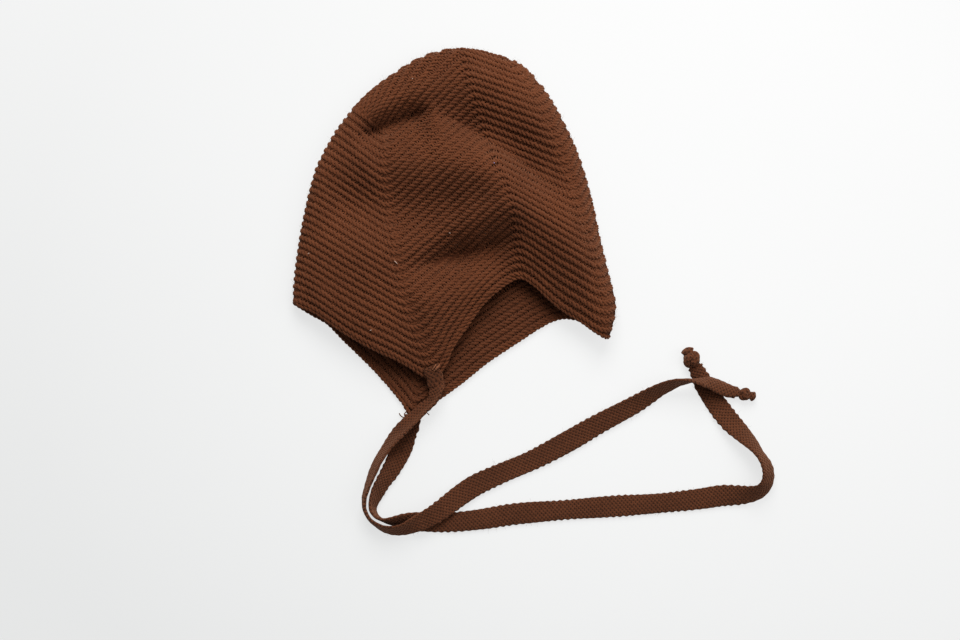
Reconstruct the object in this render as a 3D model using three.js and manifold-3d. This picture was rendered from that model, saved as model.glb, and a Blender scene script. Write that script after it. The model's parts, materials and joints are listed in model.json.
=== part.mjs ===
// Baby bonnet, knitted in one piece in rows that run parallel to its rim, lying on its far side.
// The shell is folded flat along the outline, with the near layer above and the far layer below.
// Millimetres, +Z up. The origin is the middle of the bonnet's footprint on the table.
// +X points from the nape to the forehead point, +Y from the ear flaps to the crown.

import * as THREE from 'three';
import Module from 'manifold-3d';
import { mergeVertices } from 'three/addons/utils/BufferGeometryUtils.js';

// Shell.
const WIDTH = 180.4; // nape corner to forehead side of the folded bonnet
const LENGTH = 204.6; // tip of the far ear flap to the crown
const LOFT = 30; // height of the near layer over the table that the height columns are shares of
const WALL = 2.8; // thickness of the knitted fabric
const FOLD_HALF_HEIGHT = 5; // half of the height of the rolled edge along the outline
const FOLD_REACH = 6; // how far in from the outline the roll takes to level off
const GAP = 0.3; // clearance between pieces that touch

// Ties.
const TIE_WIDTH = 11.5;
const TIE_THICKNESS = 2.2;
const KNOT_LENGTH = 8.6; // along the tie
const KNOT_WIDTH = 7.4; // across the tie
const KNOT_HEIGHT = 6.6;
const STUB_LENGTH = 5.2; // end of the tie that stands out of the knot
const STUB_WIDTH = 4.8;

// Steps of the meshes.
const STEPS_PER_ROW = 2; // between two rows of a table
const NEAR_STEPS = 30; // from the near rim to the folded outline
const FAR_STEPS = 12; // from the folded outline to the far rim

// One row for each section over the shell, from the nape corner to the forehead point.
// near, fold and far are where the section starts, turns and ends, seen from above: x as a share of
// WIDTH from the nape side, and y as a share of LENGTH from the far ear tip.
// rim and dome are the heights of the near layer at its rim and halfway, and lift is the height of the
// far layer over the table, all as shares of LOFT.
const SECTIONS = [
  { near: [0.001, 0.307], fold: [0.001, 0.307], far: [0.001, 0.307], rim: 0.33, dome: 0.33, lift: 0.04 },
  { near: [0.026, 0.295], fold: [0.001, 0.337], far: [0.029, 0.290], rim: 0.33, dome: 0.34, lift: 0.02 },
  { near: [0.063, 0.281], fold: [0.007, 0.400], far: [0.066, 0.271], rim: 0.34, dome: 0.37, lift: 0 },
  { near: [0.107, 0.255], fold: [0.019, 0.476], far: [0.110, 0.248], rim: 0.35, dome: 0.43, lift: 0 },
  { near: [0.160, 0.223], fold: [0.042, 0.580], far: [0.160, 0.203], rim: 0.36, dome: 0.50, lift: 0 },
  { near: [0.212, 0.196], fold: [0.073, 0.676], far: [0.206, 0.164], rim: 0.38, dome: 0.58, lift: 0 },
  { near: [0.268, 0.171], fold: [0.119, 0.755], far: [0.256, 0.120], rim: 0.40, dome: 0.66, lift: 0 },
  { near: [0.324, 0.149], fold: [0.175, 0.824], far: [0.302, 0.074], rim: 0.38, dome: 0.72, lift: 0 },
  { near: [0.371, 0.125], fold: [0.240, 0.884], far: [0.340, 0.033], rim: 0.33, dome: 0.76, lift: 0 },
  { near: [0.403, 0.106], fold: [0.312, 0.931], far: [0.354, 0.011], rim: 0.29, dome: 0.79, lift: 0 },
  { near: [0.437, 0.100], fold: [0.389, 0.973], far: [0.364, 0.001], rim: 0.27, dome: 0.81, lift: 0 },
  { near: [0.468, 0.130], fold: [0.470, 0.996], far: [0.389, 0.011], rim: 0.29, dome: 0.83, lift: 0 },
  { near: [0.495, 0.185], fold: [0.551, 0.998], far: [0.448, 0.042], rim: 0.36, dome: 0.84, lift: 0 },
  { near: [0.535, 0.238], fold: [0.631, 0.981], far: [0.523, 0.090], rim: 0.45, dome: 0.85, lift: 0 },
  { near: [0.588, 0.301], fold: [0.706, 0.955], far: [0.607, 0.149], rim: 0.55, dome: 0.86, lift: 0 },
  { near: [0.647, 0.348], fold: [0.768, 0.900], far: [0.690, 0.197], rim: 0.63, dome: 0.87, lift: 0 },
  { near: [0.698, 0.372], fold: [0.818, 0.832], far: [0.768, 0.242], rim: 0.67, dome: 0.87, lift: 0 },
  { near: [0.743, 0.352], fold: [0.861, 0.757], far: [0.818, 0.262], rim: 0.64, dome: 0.86, lift: 0 },
  { near: [0.790, 0.315], fold: [0.895, 0.681], far: [0.861, 0.264], rim: 0.60, dome: 0.83, lift: 0 },
  { near: [0.836, 0.281], fold: [0.926, 0.583], far: [0.898, 0.255], rim: 0.55, dome: 0.78, lift: 0 },
  { near: [0.883, 0.256], fold: [0.953, 0.473], far: [0.930, 0.238], rim: 0.50, dome: 0.70, lift: 0.02 },
  { near: [0.926, 0.229], fold: [0.976, 0.389], far: [0.954, 0.224], rim: 0.45, dome: 0.58, lift: 0.06 },
  { near: [0.957, 0.213], fold: [0.999, 0.293], far: [0.970, 0.215], rim: 0.40, dome: 0.46, lift: 0.12 },
  { near: [0.979, 0.209], fold: [0.979, 0.209], far: [0.979, 0.209], rim: 0.38, dome: 0.38, lift: 0.15 },
];

// One row for each dent, fold or swelling of the near layer, along the line from 1 to 2.
// x is a share of WIDTH, y of LENGTH, rise of LOFT (a dent is negative) and reach of LENGTH.
const FOLDS = [
  { name: 'crown crease', x1: 0.237, y1: 0.778, x2: 0.436, y2: 0.842, rise: -0.24, reach: 0.027 },
  { name: 'crown swell', x1: 0.262, y1: 0.881, x2: 0.346, y2: 0.914, rise: 0.12, reach: 0.050 },
  { name: 'temple valley, upper part', x1: 0.501, y1: 0.810, x2: 0.678, y2: 0.722, rise: -0.13, reach: 0.042 },
  { name: 'temple valley, lower part', x1: 0.678, y1: 0.722, x2: 0.827, y2: 0.613, rise: -0.13, reach: 0.038 },
  { name: 'long crest, back part', x1: 0.315, y1: 0.709, x2: 0.604, y2: 0.675, rise: 0.13, reach: 0.046 },
  { name: 'long crest, front part', x1: 0.604, y1: 0.662, x2: 0.895, y2: 0.449, rise: 0.13, reach: 0.044 },
  { name: 'back hollow', x1: 0.160, y1: 0.586, x2: 0.423, y2: 0.553, rise: -0.09, reach: 0.050 },
  { name: 'side crest', x1: 0.501, y1: 0.517, x2: 0.656, y2: 0.567, rise: 0.09, reach: 0.034 },
  { name: 'side valley, back part', x1: 0.380, y1: 0.400, x2: 0.510, y2: 0.432, rise: -0.16, reach: 0.030 },
  { name: 'side valley, front part', x1: 0.510, y1: 0.432, x2: 0.659, y2: 0.476, rise: -0.24, reach: 0.035 },
  { name: 'ear flap swell', x1: 0.455, y1: 0.312, x2: 0.572, y2: 0.353, rise: 0.07, reach: 0.045 },
];

// Routes of the ties, as points picked along them from the ear flap to the knot.
// x and y are in millimetres from the origin, lift is the height of the lower edge over the table,
// turn is the lean of the band in degrees (0 lies flat, 90 stands on edge) and gather is the share of
// its width that is left where it is bunched.
const NEAR_TIE_ROUTE = [
  { x: -10.2, y: -84.0, lift: 5.0, turn: 5, gather: 0.86 },
  { x: -10.0, y: -88.9, lift: 4.6, turn: 22, gather: 0.72 },
  { x: -12.2, y: -94.8, lift: 3.9, turn: 32, gather: 0.60 },
  { x: -17.2, y: -99.6, lift: 3.3, turn: 34, gather: 0.60 },
  { x: -23.6, y: -105.4, lift: 3.2, turn: 38, gather: 0.72 },
  { x: -29.5, y: -110.9, lift: 3.0, turn: 46, gather: 0.86 },
  { x: -34.8, y: -116.9, lift: 1.6, turn: 58, gather: 1 },
  { x: -39.0, y: -122.8, lift: 0.3, turn: 65, gather: 1 },
  { x: -42.4, y: -128.1, lift: 0, turn: 68, gather: 1 },
  { x: -45.2, y: -134.2, lift: 0, turn: 70, gather: 1 },
  { x: -48.2, y: -142.1, lift: 0, turn: 78, gather: 1 },
  { x: -50.3, y: -149.4, lift: 0, turn: 82, gather: 1 },
  { x: -50.1, y: -155.8, lift: 0, turn: 84, gather: 1 },
  { x: -47.4, y: -160.8, lift: 0, turn: 82, gather: 1 },
  { x: -42.6, y: -164.5, lift: 0, turn: 77, gather: 1 },
  { x: -37.8, y: -166.5, lift: 0.2, turn: 69, gather: 1 },
  { x: -32.8, y: -166.9, lift: 0.9, turn: 62, gather: 1 },
  { x: -27.6, y: -165.9, lift: 2.4, turn: 52, gather: 1 },
  { x: -23.0, y: -163.9, lift: 3.4, turn: 38, gather: 1 },
  { x: -18.0, y: -161.7, lift: 3.4, turn: 25, gather: 1 },
  { x: -11.1, y: -158.0, lift: 3.6, turn: 14, gather: 1 },
  { x: -4.8, y: -153.6, lift: 3.0, turn: 5, gather: 1 },
  { x: 3.9, y: -147.2, lift: 0.9, turn: 0, gather: 1 },
  { x: 11.8, y: -142.1, lift: 0, turn: 0, gather: 1 },
  { x: 25.8, y: -135.6, lift: 0, turn: 0, gather: 1 },
  { x: 44.2, y: -127.8, lift: 0, turn: 0, gather: 1 },
  { x: 64.6, y: -117.0, lift: 0, turn: 0, gather: 1 },
  { x: 80.3, y: -107.9, lift: 0, turn: 5, gather: 1 },
  { x: 100.1, y: -97.2, lift: 0, turn: 22, gather: 1 },
  { x: 108.3, y: -92.2, lift: 0, turn: 36, gather: 1 },
  { x: 115.0, y: -88.3, lift: 0.3, turn: 50, gather: 1 },
  { x: 120.0, y: -86.1, lift: 0.9, turn: 58, gather: 1 },
  { x: 125.1, y: -84.3, lift: 2.6, turn: 70, gather: 1 },
  { x: 130.1, y: -83.6, lift: 3.7, turn: 86, gather: 1 },
  { x: 137.4, y: -83.7, lift: 3.9, turn: 118, gather: 1 },
  { x: 143.0, y: -84.8, lift: 3.4, turn: 138, gather: 1 },
  { x: 148.0, y: -87.2, lift: 1.8, turn: 146, gather: 1 },
  { x: 153.1, y: -89.3, lift: 0.6, turn: 150, gather: 0.9 },
  { x: 157.3, y: -90.7, lift: 0.2, turn: 155, gather: 0.6 },
];

const FAR_TIE_ROUTE = [
  { x: -23.6, y: -102.5, lift: 0, turn: 0, gather: 0.8 },
  { x: -23.9, y: -108.5, lift: 0, turn: 0, gather: 0.74 },
  { x: -26.0, y: -113.0, lift: 0, turn: 0, gather: 0.82 },
  { x: -28.9, y: -119.7, lift: 0, turn: -2, gather: 0.98 },
  { x: -31.6, y: -125.6, lift: 0, turn: -8, gather: 1 },
  { x: -34.1, y: -130.6, lift: 0, turn: -22, gather: 1 },
  { x: -36.9, y: -135.4, lift: 0, turn: -30, gather: 1 },
  { x: -39.8, y: -139.8, lift: 0, turn: -42, gather: 1 },
  { x: -42.4, y: -144.5, lift: 0, turn: -48, gather: 1 },
  { x: -44.3, y: -148.8, lift: 0, turn: -58, gather: 1 },
  { x: -45.5, y: -152.4, lift: 0, turn: -68, gather: 1 },
  { x: -45.6, y: -155.8, lift: 0, turn: -76, gather: 1 },
  { x: -43.9, y: -159.0, lift: 0, turn: -84, gather: 1 },
  { x: -40.3, y: -161.2, lift: 0, turn: -94, gather: 1 },
  { x: -35.4, y: -162.2, lift: 0, turn: -112, gather: 1 },
  { x: -29.8, y: -162.2, lift: 0, turn: -132, gather: 1 },
  { x: -23.9, y: -162.2, lift: 0, turn: -148, gather: 1 },
  { x: -17.2, y: -162.7, lift: 0, turn: -164, gather: 1 },
  { x: -8.2, y: -163.0, lift: 0, turn: -174, gather: 1 },
  { x: 0.8, y: -162.7, lift: 0, turn: -178, gather: 1 },
  { x: 14.2, y: -161.3, lift: 0, turn: -180, gather: 1 },
  { x: 33.8, y: -158.3, lift: 0, turn: -180, gather: 1 },
  { x: 59.0, y: -156.2, lift: 0, turn: -180, gather: 1 },
  { x: 87.0, y: -154.1, lift: 0, turn: -180, gather: 1 },
  { x: 115.0, y: -152.2, lift: 0, turn: -180, gather: 1 },
  { x: 137.4, y: -149.8, lift: 0, turn: -180, gather: 1 },
  { x: 149.7, y: -148.0, lift: 0, turn: -174, gather: 1 },
  { x: 158.7, y: -147.7, lift: 0.4, turn: -160, gather: 1 },
  { x: 165.4, y: -147.1, lift: 1.2, turn: -146, gather: 1 },
  { x: 170.7, y: -145.2, lift: 2.4, turn: -132, gather: 1 },
  { x: 174.4, y: -141.2, lift: 3.4, turn: -124, gather: 1 },
  { x: 175.9, y: -135.9, lift: 3.8, turn: -118, gather: 1 },
  { x: 174.9, y: -130.3, lift: 3.2, turn: -112, gather: 1 },
  { x: 171.8, y: -125.0, lift: 2.0, turn: -110, gather: 1 },
  { x: 167.1, y: -119.7, lift: 0.8, turn: -124, gather: 1 },
  { x: 160.9, y: -113.2, lift: 0.2, turn: -144, gather: 1 },
  { x: 154.2, y: -106.5, lift: 0, turn: -166, gather: 1 },
  { x: 146.4, y: -96.5, lift: 0, turn: -180, gather: 1 },
  { x: 139.6, y: -85.7, lift: 0.2, turn: -180, gather: 0.95 },
  { x: 134.5, y: -75.8, lift: 1.9, turn: -180, gather: 0.60 },
];

// Value at a place between rows, on a curve through what pick takes from each row.
function valueAt(rows, place, pick) {
  const last = rows.length - 1;
  const row = Math.min(Math.floor(place), last - 1);
  const t = place - row;
  const a = pick(rows[Math.max(row - 1, 0)]);
  const b = pick(rows[row]);
  const c = pick(rows[row + 1]);
  const d = pick(rows[Math.min(row + 2, last)]);
  const bend = (2 * a - 5 * b + 4 * c - d) * t * t + (3 * b - a - 3 * c + d) * t * t * t;
  return b + 0.5 * ((c - a) * t + bend);
}

function shareToPoint(x, y) {
  return new THREE.Vector2((x - 0.5) * WIDTH, (y - 0.5) * LENGTH);
}

function sectionPoint(place, side) {
  const x = valueAt(SECTIONS, place, (section) => section[side][0]);
  const y = valueAt(SECTIONS, place, (section) => section[side][1]);
  return shareToPoint(x, y);
}

// The folded outline, with both ends carried straight on past the rim.
function makeOutline() {
  const steps = (SECTIONS.length - 1) * 4;
  const points = [];
  for (let step = 0; step <= steps; step += 1) {
    points.push(sectionPoint(step / 4, 'fold'));
  }
  const first = points[0].clone().sub(points[1]).setLength(WIDTH);
  const last = points[steps].clone().sub(points[steps - 1]).setLength(WIDTH);
  points.unshift(points[0].clone().add(first));
  points.push(points[points.length - 1].clone().add(last));
  return points;
}

const OUTLINE = makeOutline();

function distanceToLine(point, start, end) {
  const along = end.clone().sub(start);
  const offset = point.clone().sub(start);
  const share = THREE.MathUtils.clamp(offset.dot(along) / along.lengthSq(), 0, 1);
  return offset.sub(along.multiplyScalar(share)).length();
}

function distanceToOutline(point) {
  let nearest = Infinity;
  for (let index = 1; index < OUTLINE.length; index += 1) {
    nearest = Math.min(nearest, distanceToLine(point, OUTLINE[index - 1], OUTLINE[index]));
  }
  return nearest;
}

// Quarter of an ellipse: 0 on the outline and 1 where the rolled edge has levelled off.
function rollShare(distance) {
  const rest = 1 - Math.min(distance / FOLD_REACH, 1);
  return Math.sqrt(1 - rest * rest);
}

function foldRise(point) {
  let rise = 0;
  for (const fold of FOLDS) {
    const start = shareToPoint(fold.x1, fold.y1);
    const end = shareToPoint(fold.x2, fold.y2);
    const share = distanceToLine(point, start, end) / (fold.reach * LENGTH);
    rise += fold.rise * LOFT * Math.exp(-0.5 * share * share);
  }
  return rise;
}

// Height of the near layer's outer face; share runs from 0 at the rim to 1 at the outline.
function nearHeight(place, share, point) {
  const rim = valueAt(SECTIONS, place, (section) => section.rim) * LOFT;
  const dome = valueAt(SECTIONS, place, (section) => section.dome) * LOFT;
  const shoulder = 2 * FOLD_HALF_HEIGHT;
  const rimPart = rim * (1 - share) * (1 - 2 * share);
  const domePart = dome * 4 * share * (1 - share);
  const shoulderPart = shoulder * share * (2 * share - 1);
  const plain = rimPart + domePart + shoulderPart;
  const distance = distanceToOutline(point);
  const roll = rollShare(distance);
  const inside = THREE.MathUtils.smoothstep(distance, 0, 3 * FOLD_REACH);
  return FOLD_HALF_HEIGHT + (plain - FOLD_HALF_HEIGHT) * roll + foldRise(point) * inside;
}

function farHeight(point) {
  return FOLD_HALF_HEIGHT * (1 - rollShare(distanceToOutline(point)));
}

// A point of the outer face; step runs from the near rim over the fold to the far rim.
function outerPoint(place, step) {
  const onNear = step <= NEAR_STEPS;
  const start = sectionPoint(place, onNear ? 'near' : 'far');
  const fold = sectionPoint(place, 'fold');
  const steps = onNear ? NEAR_STEPS : FAR_STEPS;
  const left = onNear ? NEAR_STEPS - step : step - NEAR_STEPS;
  const share = 1 - (left / steps) ** 1.8;
  const point = start.lerp(fold, share);
  const lift = Math.max(valueAt(SECTIONS, place, (section) => section.lift), 0) * LOFT;
  const height = onNear ? nearHeight(place, share, point) : farHeight(point);
  return new THREE.Vector3(point.x, point.y, lift + height);
}

// A closed solid from its corner points and its faces, each a list of three or four corners.
function solidFromFaces(corners, faces) {
  const index = [];
  for (const face of faces) {
    for (let corner = 2; corner < face.length; corner += 1) {
      const triangle = [face[0], face[corner - 1], face[corner]];
      if (new Set(triangle).size === 3) {
        index.push(...triangle);
      }
    }
  }
  const geometry = new THREE.BufferGeometry();
  geometry.setAttribute('position', new THREE.Float32BufferAttribute(corners.flatMap((p) => p.toArray()), 3));
  geometry.setIndex(index);
  return geometry;
}

// The shell: the outer face, the inner face one wall further in, and the rim that joins them.
function makeShell() {
  const rows = (SECTIONS.length - 1) * STEPS_PER_ROW;
  const columns = NEAR_STEPS + FAR_STEPS;
  const outer = [];
  for (let row = 0; row <= rows; row += 1) {
    const atPole = row === 0 || row === rows;
    for (let column = 0; column <= (atPole ? 0 : columns); column += 1) {
      outer.push(outerPoint(row / STEPS_PER_ROW, column));
    }
  }
  const corner = (row, column) => {
    if (row === 0) {
      return 0;
    }
    return row === rows ? outer.length - 1 : 1 + (row - 1) * (columns + 1) + column;
  };
  const outerFaces = [];
  for (let row = 0; row < rows; row += 1) {
    for (let column = 0; column < columns; column += 1) {
      const low = [corner(row, column), corner(row + 1, column)];
      const high = [corner(row, column + 1), corner(row + 1, column + 1)];
      outerFaces.push([low[0], low[1], high[1], high[0]]);
    }
  }
  const skin = solidFromFaces(outer, outerFaces);
  skin.computeVertexNormals();
  const normals = skin.getAttribute('normal');
  const inner = outer.map((point, index) => {
    const normal = new THREE.Vector3().fromBufferAttribute(normals, index);
    return point.clone().addScaledVector(normal, -WALL);
  });
  const count = outer.length;
  const innerFaces = outerFaces.map((face) => face.map((index) => index + count).reverse());
  const rimFaces = [];
  for (let row = 0; row < rows; row += 1) {
    const nearRim = [corner(row, 0), corner(row + 1, 0)];
    const farRim = [corner(row + 1, columns), corner(row, columns)];
    for (const [a, b] of [nearRim, farRim]) {
      rimFaces.push([b, a, a + count, b + count]);
    }
  }
  return solidFromFaces([...outer, ...inner], [...outerFaces, ...innerFaces, ...rimFaces]);
}

// Cross-section of a tie: a flat band with its corners taken off.
const BAND_SECTION = [
  { across: 1, up: -0.35 },
  { across: 1, up: 0.35 },
  { across: 0.9, up: 1 },
  { across: -0.9, up: 1 },
  { across: -1, up: 0.35 },
  { across: -1, up: -0.35 },
  { across: -0.9, up: -1 },
  { across: 0.9, up: -1 },
];

// Centre, direction and section of a tie at a place between two rows of its route.
function bandFrame(route, curve, place) {
  const share = place / (route.length - 1);
  const turn = THREE.MathUtils.degToRad(valueAt(route, place, (row) => row.turn));
  const gather = Math.min(valueAt(route, place, (row) => row.gather), 1);
  const width = TIE_WIDTH * gather;
  const thickness = TIE_THICKNESS * (1.5 - 0.5 * gather);
  const lift = Math.max(valueAt(route, place, (row) => row.lift), 0);
  const height = Math.abs(width * Math.sin(turn)) + Math.abs(thickness * Math.cos(turn));
  const centre = curve.getPoint(share);
  centre.z = lift + height / 2;
  const along = curve.getTangent(share);
  const side = new THREE.Vector3(-along.y, along.x, 0).normalize();
  const up = new THREE.Vector3(0, 0, 1);
  const across = side.clone().multiplyScalar(Math.cos(turn)).addScaledVector(up, Math.sin(turn));
  const face = side.clone().multiplyScalar(-Math.sin(turn)).addScaledVector(up, Math.cos(turn));
  return { centre, along, across, face, width, thickness };
}

function routeCurve(route) {
  const points = route.map((row) => new THREE.Vector3(row.x, row.y, 0));
  return new THREE.CatmullRomCurve3(points, false, 'centripetal');
}

function makeBand(route) {
  const curve = routeCurve(route);
  const rings = (route.length - 1) * STEPS_PER_ROW + 1;
  const sides = BAND_SECTION.length;
  const corners = [];
  for (let ring = 0; ring < rings; ring += 1) {
    const frame = bandFrame(route, curve, ring / STEPS_PER_ROW);
    for (const { across, up } of BAND_SECTION) {
      const point = frame.centre.clone();
      point.addScaledVector(frame.across, across * frame.width / 2);
      point.addScaledVector(frame.face, up * frame.thickness / 2);
      corners.push(point);
    }
  }
  const faces = [];
  for (let ring = 0; ring + 1 < rings; ring += 1) {
    for (let side = 0; side < sides; side += 1) {
      const a = ring * sides + side;
      const b = ring * sides + (side + 1) % sides;
      faces.push([a, b, b + sides, a + sides]);
    }
  }
  const firstCap = [...BAND_SECTION.keys()].reverse();
  const lastCap = [...BAND_SECTION.keys()].map((side) => side + (rings - 1) * sides);
  faces.push(firstCap, lastCap);
  return solidFromFaces(corners, faces);
}

// Overhand knot with its stub: a lump, a turn of the band laid slantwise over it, and the short end.
const wasm = await Module();
wasm.setup();

function toManifold(geometry) {
  const bare = geometry.clone();
  bare.deleteAttribute('normal');
  bare.deleteAttribute('uv');
  const merged = mergeVertices(bare, 1e-4);
  const mesh = new wasm.Mesh({
    numProp: 3,
    vertProperties: new Float32Array(merged.getAttribute('position').array),
    triVerts: new Uint32Array(merged.getIndex().array),
  });
  return new wasm.Manifold(mesh);
}

function fromManifold(solid) {
  const mesh = solid.getMesh();
  const geometry = new THREE.BufferGeometry();
  geometry.setAttribute('position', new THREE.Float32BufferAttribute(mesh.vertProperties, 3));
  geometry.setIndex(Array.from(mesh.triVerts));
  return geometry;
}

function makeKnot() {
  const lump = new THREE.SphereGeometry(0.5, 14, 9);
  lump.scale(KNOT_LENGTH, KNOT_WIDTH * 0.86, KNOT_HEIGHT * 0.86);
  const turn = new THREE.TorusGeometry(0.36, 0.14, 7, 15);
  turn.rotateY(Math.PI / 2);
  turn.scale(KNOT_LENGTH * 0.8, KNOT_WIDTH, KNOT_HEIGHT);
  turn.rotateZ(THREE.MathUtils.degToRad(24));
  const stub = new THREE.CylinderGeometry(STUB_WIDTH * 0.5, STUB_WIDTH * 0.36, STUB_LENGTH, 10);
  stub.rotateZ(-Math.PI / 2);
  stub.translate(KNOT_LENGTH * 0.4 + STUB_LENGTH / 2, 0, 0);
  const solid = toManifold(lump).add(toManifold(turn)).add(toManifold(stub));
  return fromManifold(solid);
}

// Stands a knot on the table right after the end of its tie, in line with the band.
function placeKnot(mesh, route) {
  const curve = routeCurve(route);
  const end = bandFrame(route, curve, route.length - 1);
  const reach = KNOT_LENGTH / 2 + GAP;
  mesh.position.copy(end.centre).addScaledVector(end.along, reach);
  mesh.position.z = KNOT_HEIGHT / 2;
  mesh.rotation.z = Math.atan2(end.along.y, end.along.x);
}

function brownKnit(color, roughness) {
  return new THREE.MeshStandardMaterial({ color, roughness, metalness: 0 });
}

const body = new THREE.Mesh(makeShell(), brownKnit(0x66402b, 0.92));
body.name = 'bonnet_body';

const nearTie = new THREE.Mesh(makeBand(NEAR_TIE_ROUTE), brownKnit(0x5c3a28, 0.9));
nearTie.name = 'near_tie';

const farTie = new THREE.Mesh(makeBand(FAR_TIE_ROUTE), brownKnit(0x5c3a28, 0.9));
farTie.name = 'far_tie';

const nearKnot = new THREE.Mesh(makeKnot(), brownKnit(0x573625, 0.9));
nearKnot.name = 'near_tie_knot';
placeKnot(nearKnot, NEAR_TIE_ROUTE);

const farKnot = new THREE.Mesh(makeKnot(), brownKnit(0x573625, 0.9));
farKnot.name = 'far_tie_knot';
placeKnot(farKnot, FAR_TIE_ROUTE);

const bonnet = new THREE.Group();
bonnet.add(body, nearTie, farTie, nearKnot, farKnot);

export default bonnet;
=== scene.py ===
# %% [markdown]
# # A knitted baby bonnet, lying folded on its far side
# The real thing is a small helmet bonnet, knitted in one piece in rows that run parallel to its rim, with
# a flat knitted tie on the tip of each ear flap. This lesson dresses its frame: every stitch that shows
# is made as yarn, because on a knit this coarse the holes between the stitches are what the eye reads.

# %% Load the frame
import bpy
import json
import math
import numpy as np
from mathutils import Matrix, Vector

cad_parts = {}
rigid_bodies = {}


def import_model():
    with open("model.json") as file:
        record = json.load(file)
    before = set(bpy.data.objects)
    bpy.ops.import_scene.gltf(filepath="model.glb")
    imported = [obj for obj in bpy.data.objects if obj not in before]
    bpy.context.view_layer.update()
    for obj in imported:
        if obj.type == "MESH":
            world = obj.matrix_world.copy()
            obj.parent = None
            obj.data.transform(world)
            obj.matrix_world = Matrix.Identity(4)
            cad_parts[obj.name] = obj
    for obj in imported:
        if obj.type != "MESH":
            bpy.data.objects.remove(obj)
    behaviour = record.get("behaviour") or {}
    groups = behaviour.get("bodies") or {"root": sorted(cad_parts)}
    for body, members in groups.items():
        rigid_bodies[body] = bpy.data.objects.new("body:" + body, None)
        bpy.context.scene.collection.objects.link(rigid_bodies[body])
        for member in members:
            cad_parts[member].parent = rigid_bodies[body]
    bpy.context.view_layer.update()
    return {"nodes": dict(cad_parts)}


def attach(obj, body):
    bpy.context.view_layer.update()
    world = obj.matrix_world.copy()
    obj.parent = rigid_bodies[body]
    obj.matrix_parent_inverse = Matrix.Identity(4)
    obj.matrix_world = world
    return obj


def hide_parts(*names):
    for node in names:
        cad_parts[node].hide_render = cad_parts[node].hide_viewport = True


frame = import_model()
MM = 0.001  # the tables below are in millimetres or in shares, and every mesh is in metres
UP = np.array([0.0, 0.0, 1.0])
random = np.random.default_rng(7)
print("nodes in the frame:", ", ".join(sorted(frame["nodes"])))

# %% [markdown]
# ## Camera
# The bonnet is seen from straight above. A long lens from far up keeps the raised parts of the knit
# where they are in plan, as a normal lens would not. The frame is 960 by 640, so the width alone sets
# the lens, and the camera stands over the middle of the frame.

# %% Stand the camera over the bonnet
def add_object(name, data):
    """An object of the scene for a mesh, a camera or a lamp."""
    added = bpy.data.objects.new(name, data)
    bpy.context.scene.collection.objects.link(added)
    return added


VIEW_WIDTH = 537.6 * MM  # floor that the frame takes in from left to right
VIEW_CENTRE = (14.2 * MM, -49.7 * MM)
CAMERA_HEIGHT = 1.6

camera_data = bpy.data.cameras.new("camera")
camera_data.sensor_width = 36
camera_data.lens = 36 * CAMERA_HEIGHT / VIEW_WIDTH
camera = add_object("camera", camera_data)
camera.location = (*VIEW_CENTRE, CAMERA_HEIGHT)
bpy.context.scene.camera = camera
print("lens", round(camera_data.lens, 1), "mm")

# %% [markdown]
# ## Smooth curves through short tables
# Routes and sections are short tables of points, so the curve between the rows matters. The numbers of
# a row, such as heights and turns, follow a plain Catmull-Rom curve. The places of a tie follow a
# centripetal one, which doesn't swing out where a short step follows a long one.


# %% Curves through the rows of a table
def value_at(rows, place):
    """Values between the rows of a table, for an array of places counted in rows."""
    rows = np.asarray(rows, float)
    last = len(rows) - 1
    row = np.clip(np.floor(place).astype(int), 0, last - 1)
    t = place - row
    a = rows[np.maximum(row - 1, 0)]
    b = rows[row]
    c = rows[row + 1]
    d = rows[np.minimum(row + 2, last)]
    if rows.ndim > 1:
        t = t[..., None]
    bend = (2 * a - 5 * b + 4 * c - d) * t * t + (3 * b - a - 3 * c + d) * t ** 3
    return b + 0.5 * ((c - a) * t + bend)


def centripetal(points, place):
    """Points on a centripetal curve through points, for an array of places counted in rows."""
    points = np.asarray(points, float)
    ends = np.vstack([2 * points[:1] - points[1:2], points, 2 * points[-1:] - points[-2:-1]])
    row = np.clip(np.floor(place).astype(int), 0, len(points) - 2)
    t = (place - row)[:, None]
    a, b, c, d = (ends[row + step] for step in range(4))
    step_ab = np.sqrt(np.linalg.norm(b - a, axis=1))[:, None]
    step_bc = np.sqrt(np.linalg.norm(c - b, axis=1))[:, None]
    step_cd = np.sqrt(np.linalg.norm(d - c, axis=1))[:, None]
    start = (b - a) / step_ab - (c - a) / (step_ab + step_bc) + (c - b) / step_bc
    end = (c - b) / step_bc - (d - b) / (step_bc + step_cd) + (d - c) / step_cd
    start, end = start * step_bc, end * step_bc
    rise = (-3 * b + 3 * c - 2 * start - end) * t ** 2
    return b + start * t + rise + (2 * b - 2 * c + start + end) * t ** 3


def unit(vectors):
    """The same directions, each one long."""
    return vectors / np.maximum(np.linalg.norm(vectors, axis=-1, keepdims=True), 1e-12)


def smooth_step(value, low, high):
    share = np.clip((value - low) / (high - low), 0, 1)
    return share * share * (3 - 2 * share)


def length_along(points):
    """Length of a line from its start to each of its points."""
    return np.concatenate([[0], np.cumsum(np.linalg.norm(np.diff(points, axis=0), axis=1))])


def columns_at(place, known, columns):
    """Each column of a table at some places, straight between the known ones."""
    return np.column_stack([np.interp(place, known, column) for column in columns.T])


def left_of(ahead):
    """Plan directions a quarter turn to the left of others."""
    return np.column_stack([-ahead[:, 1], ahead[:, 0]])


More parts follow.
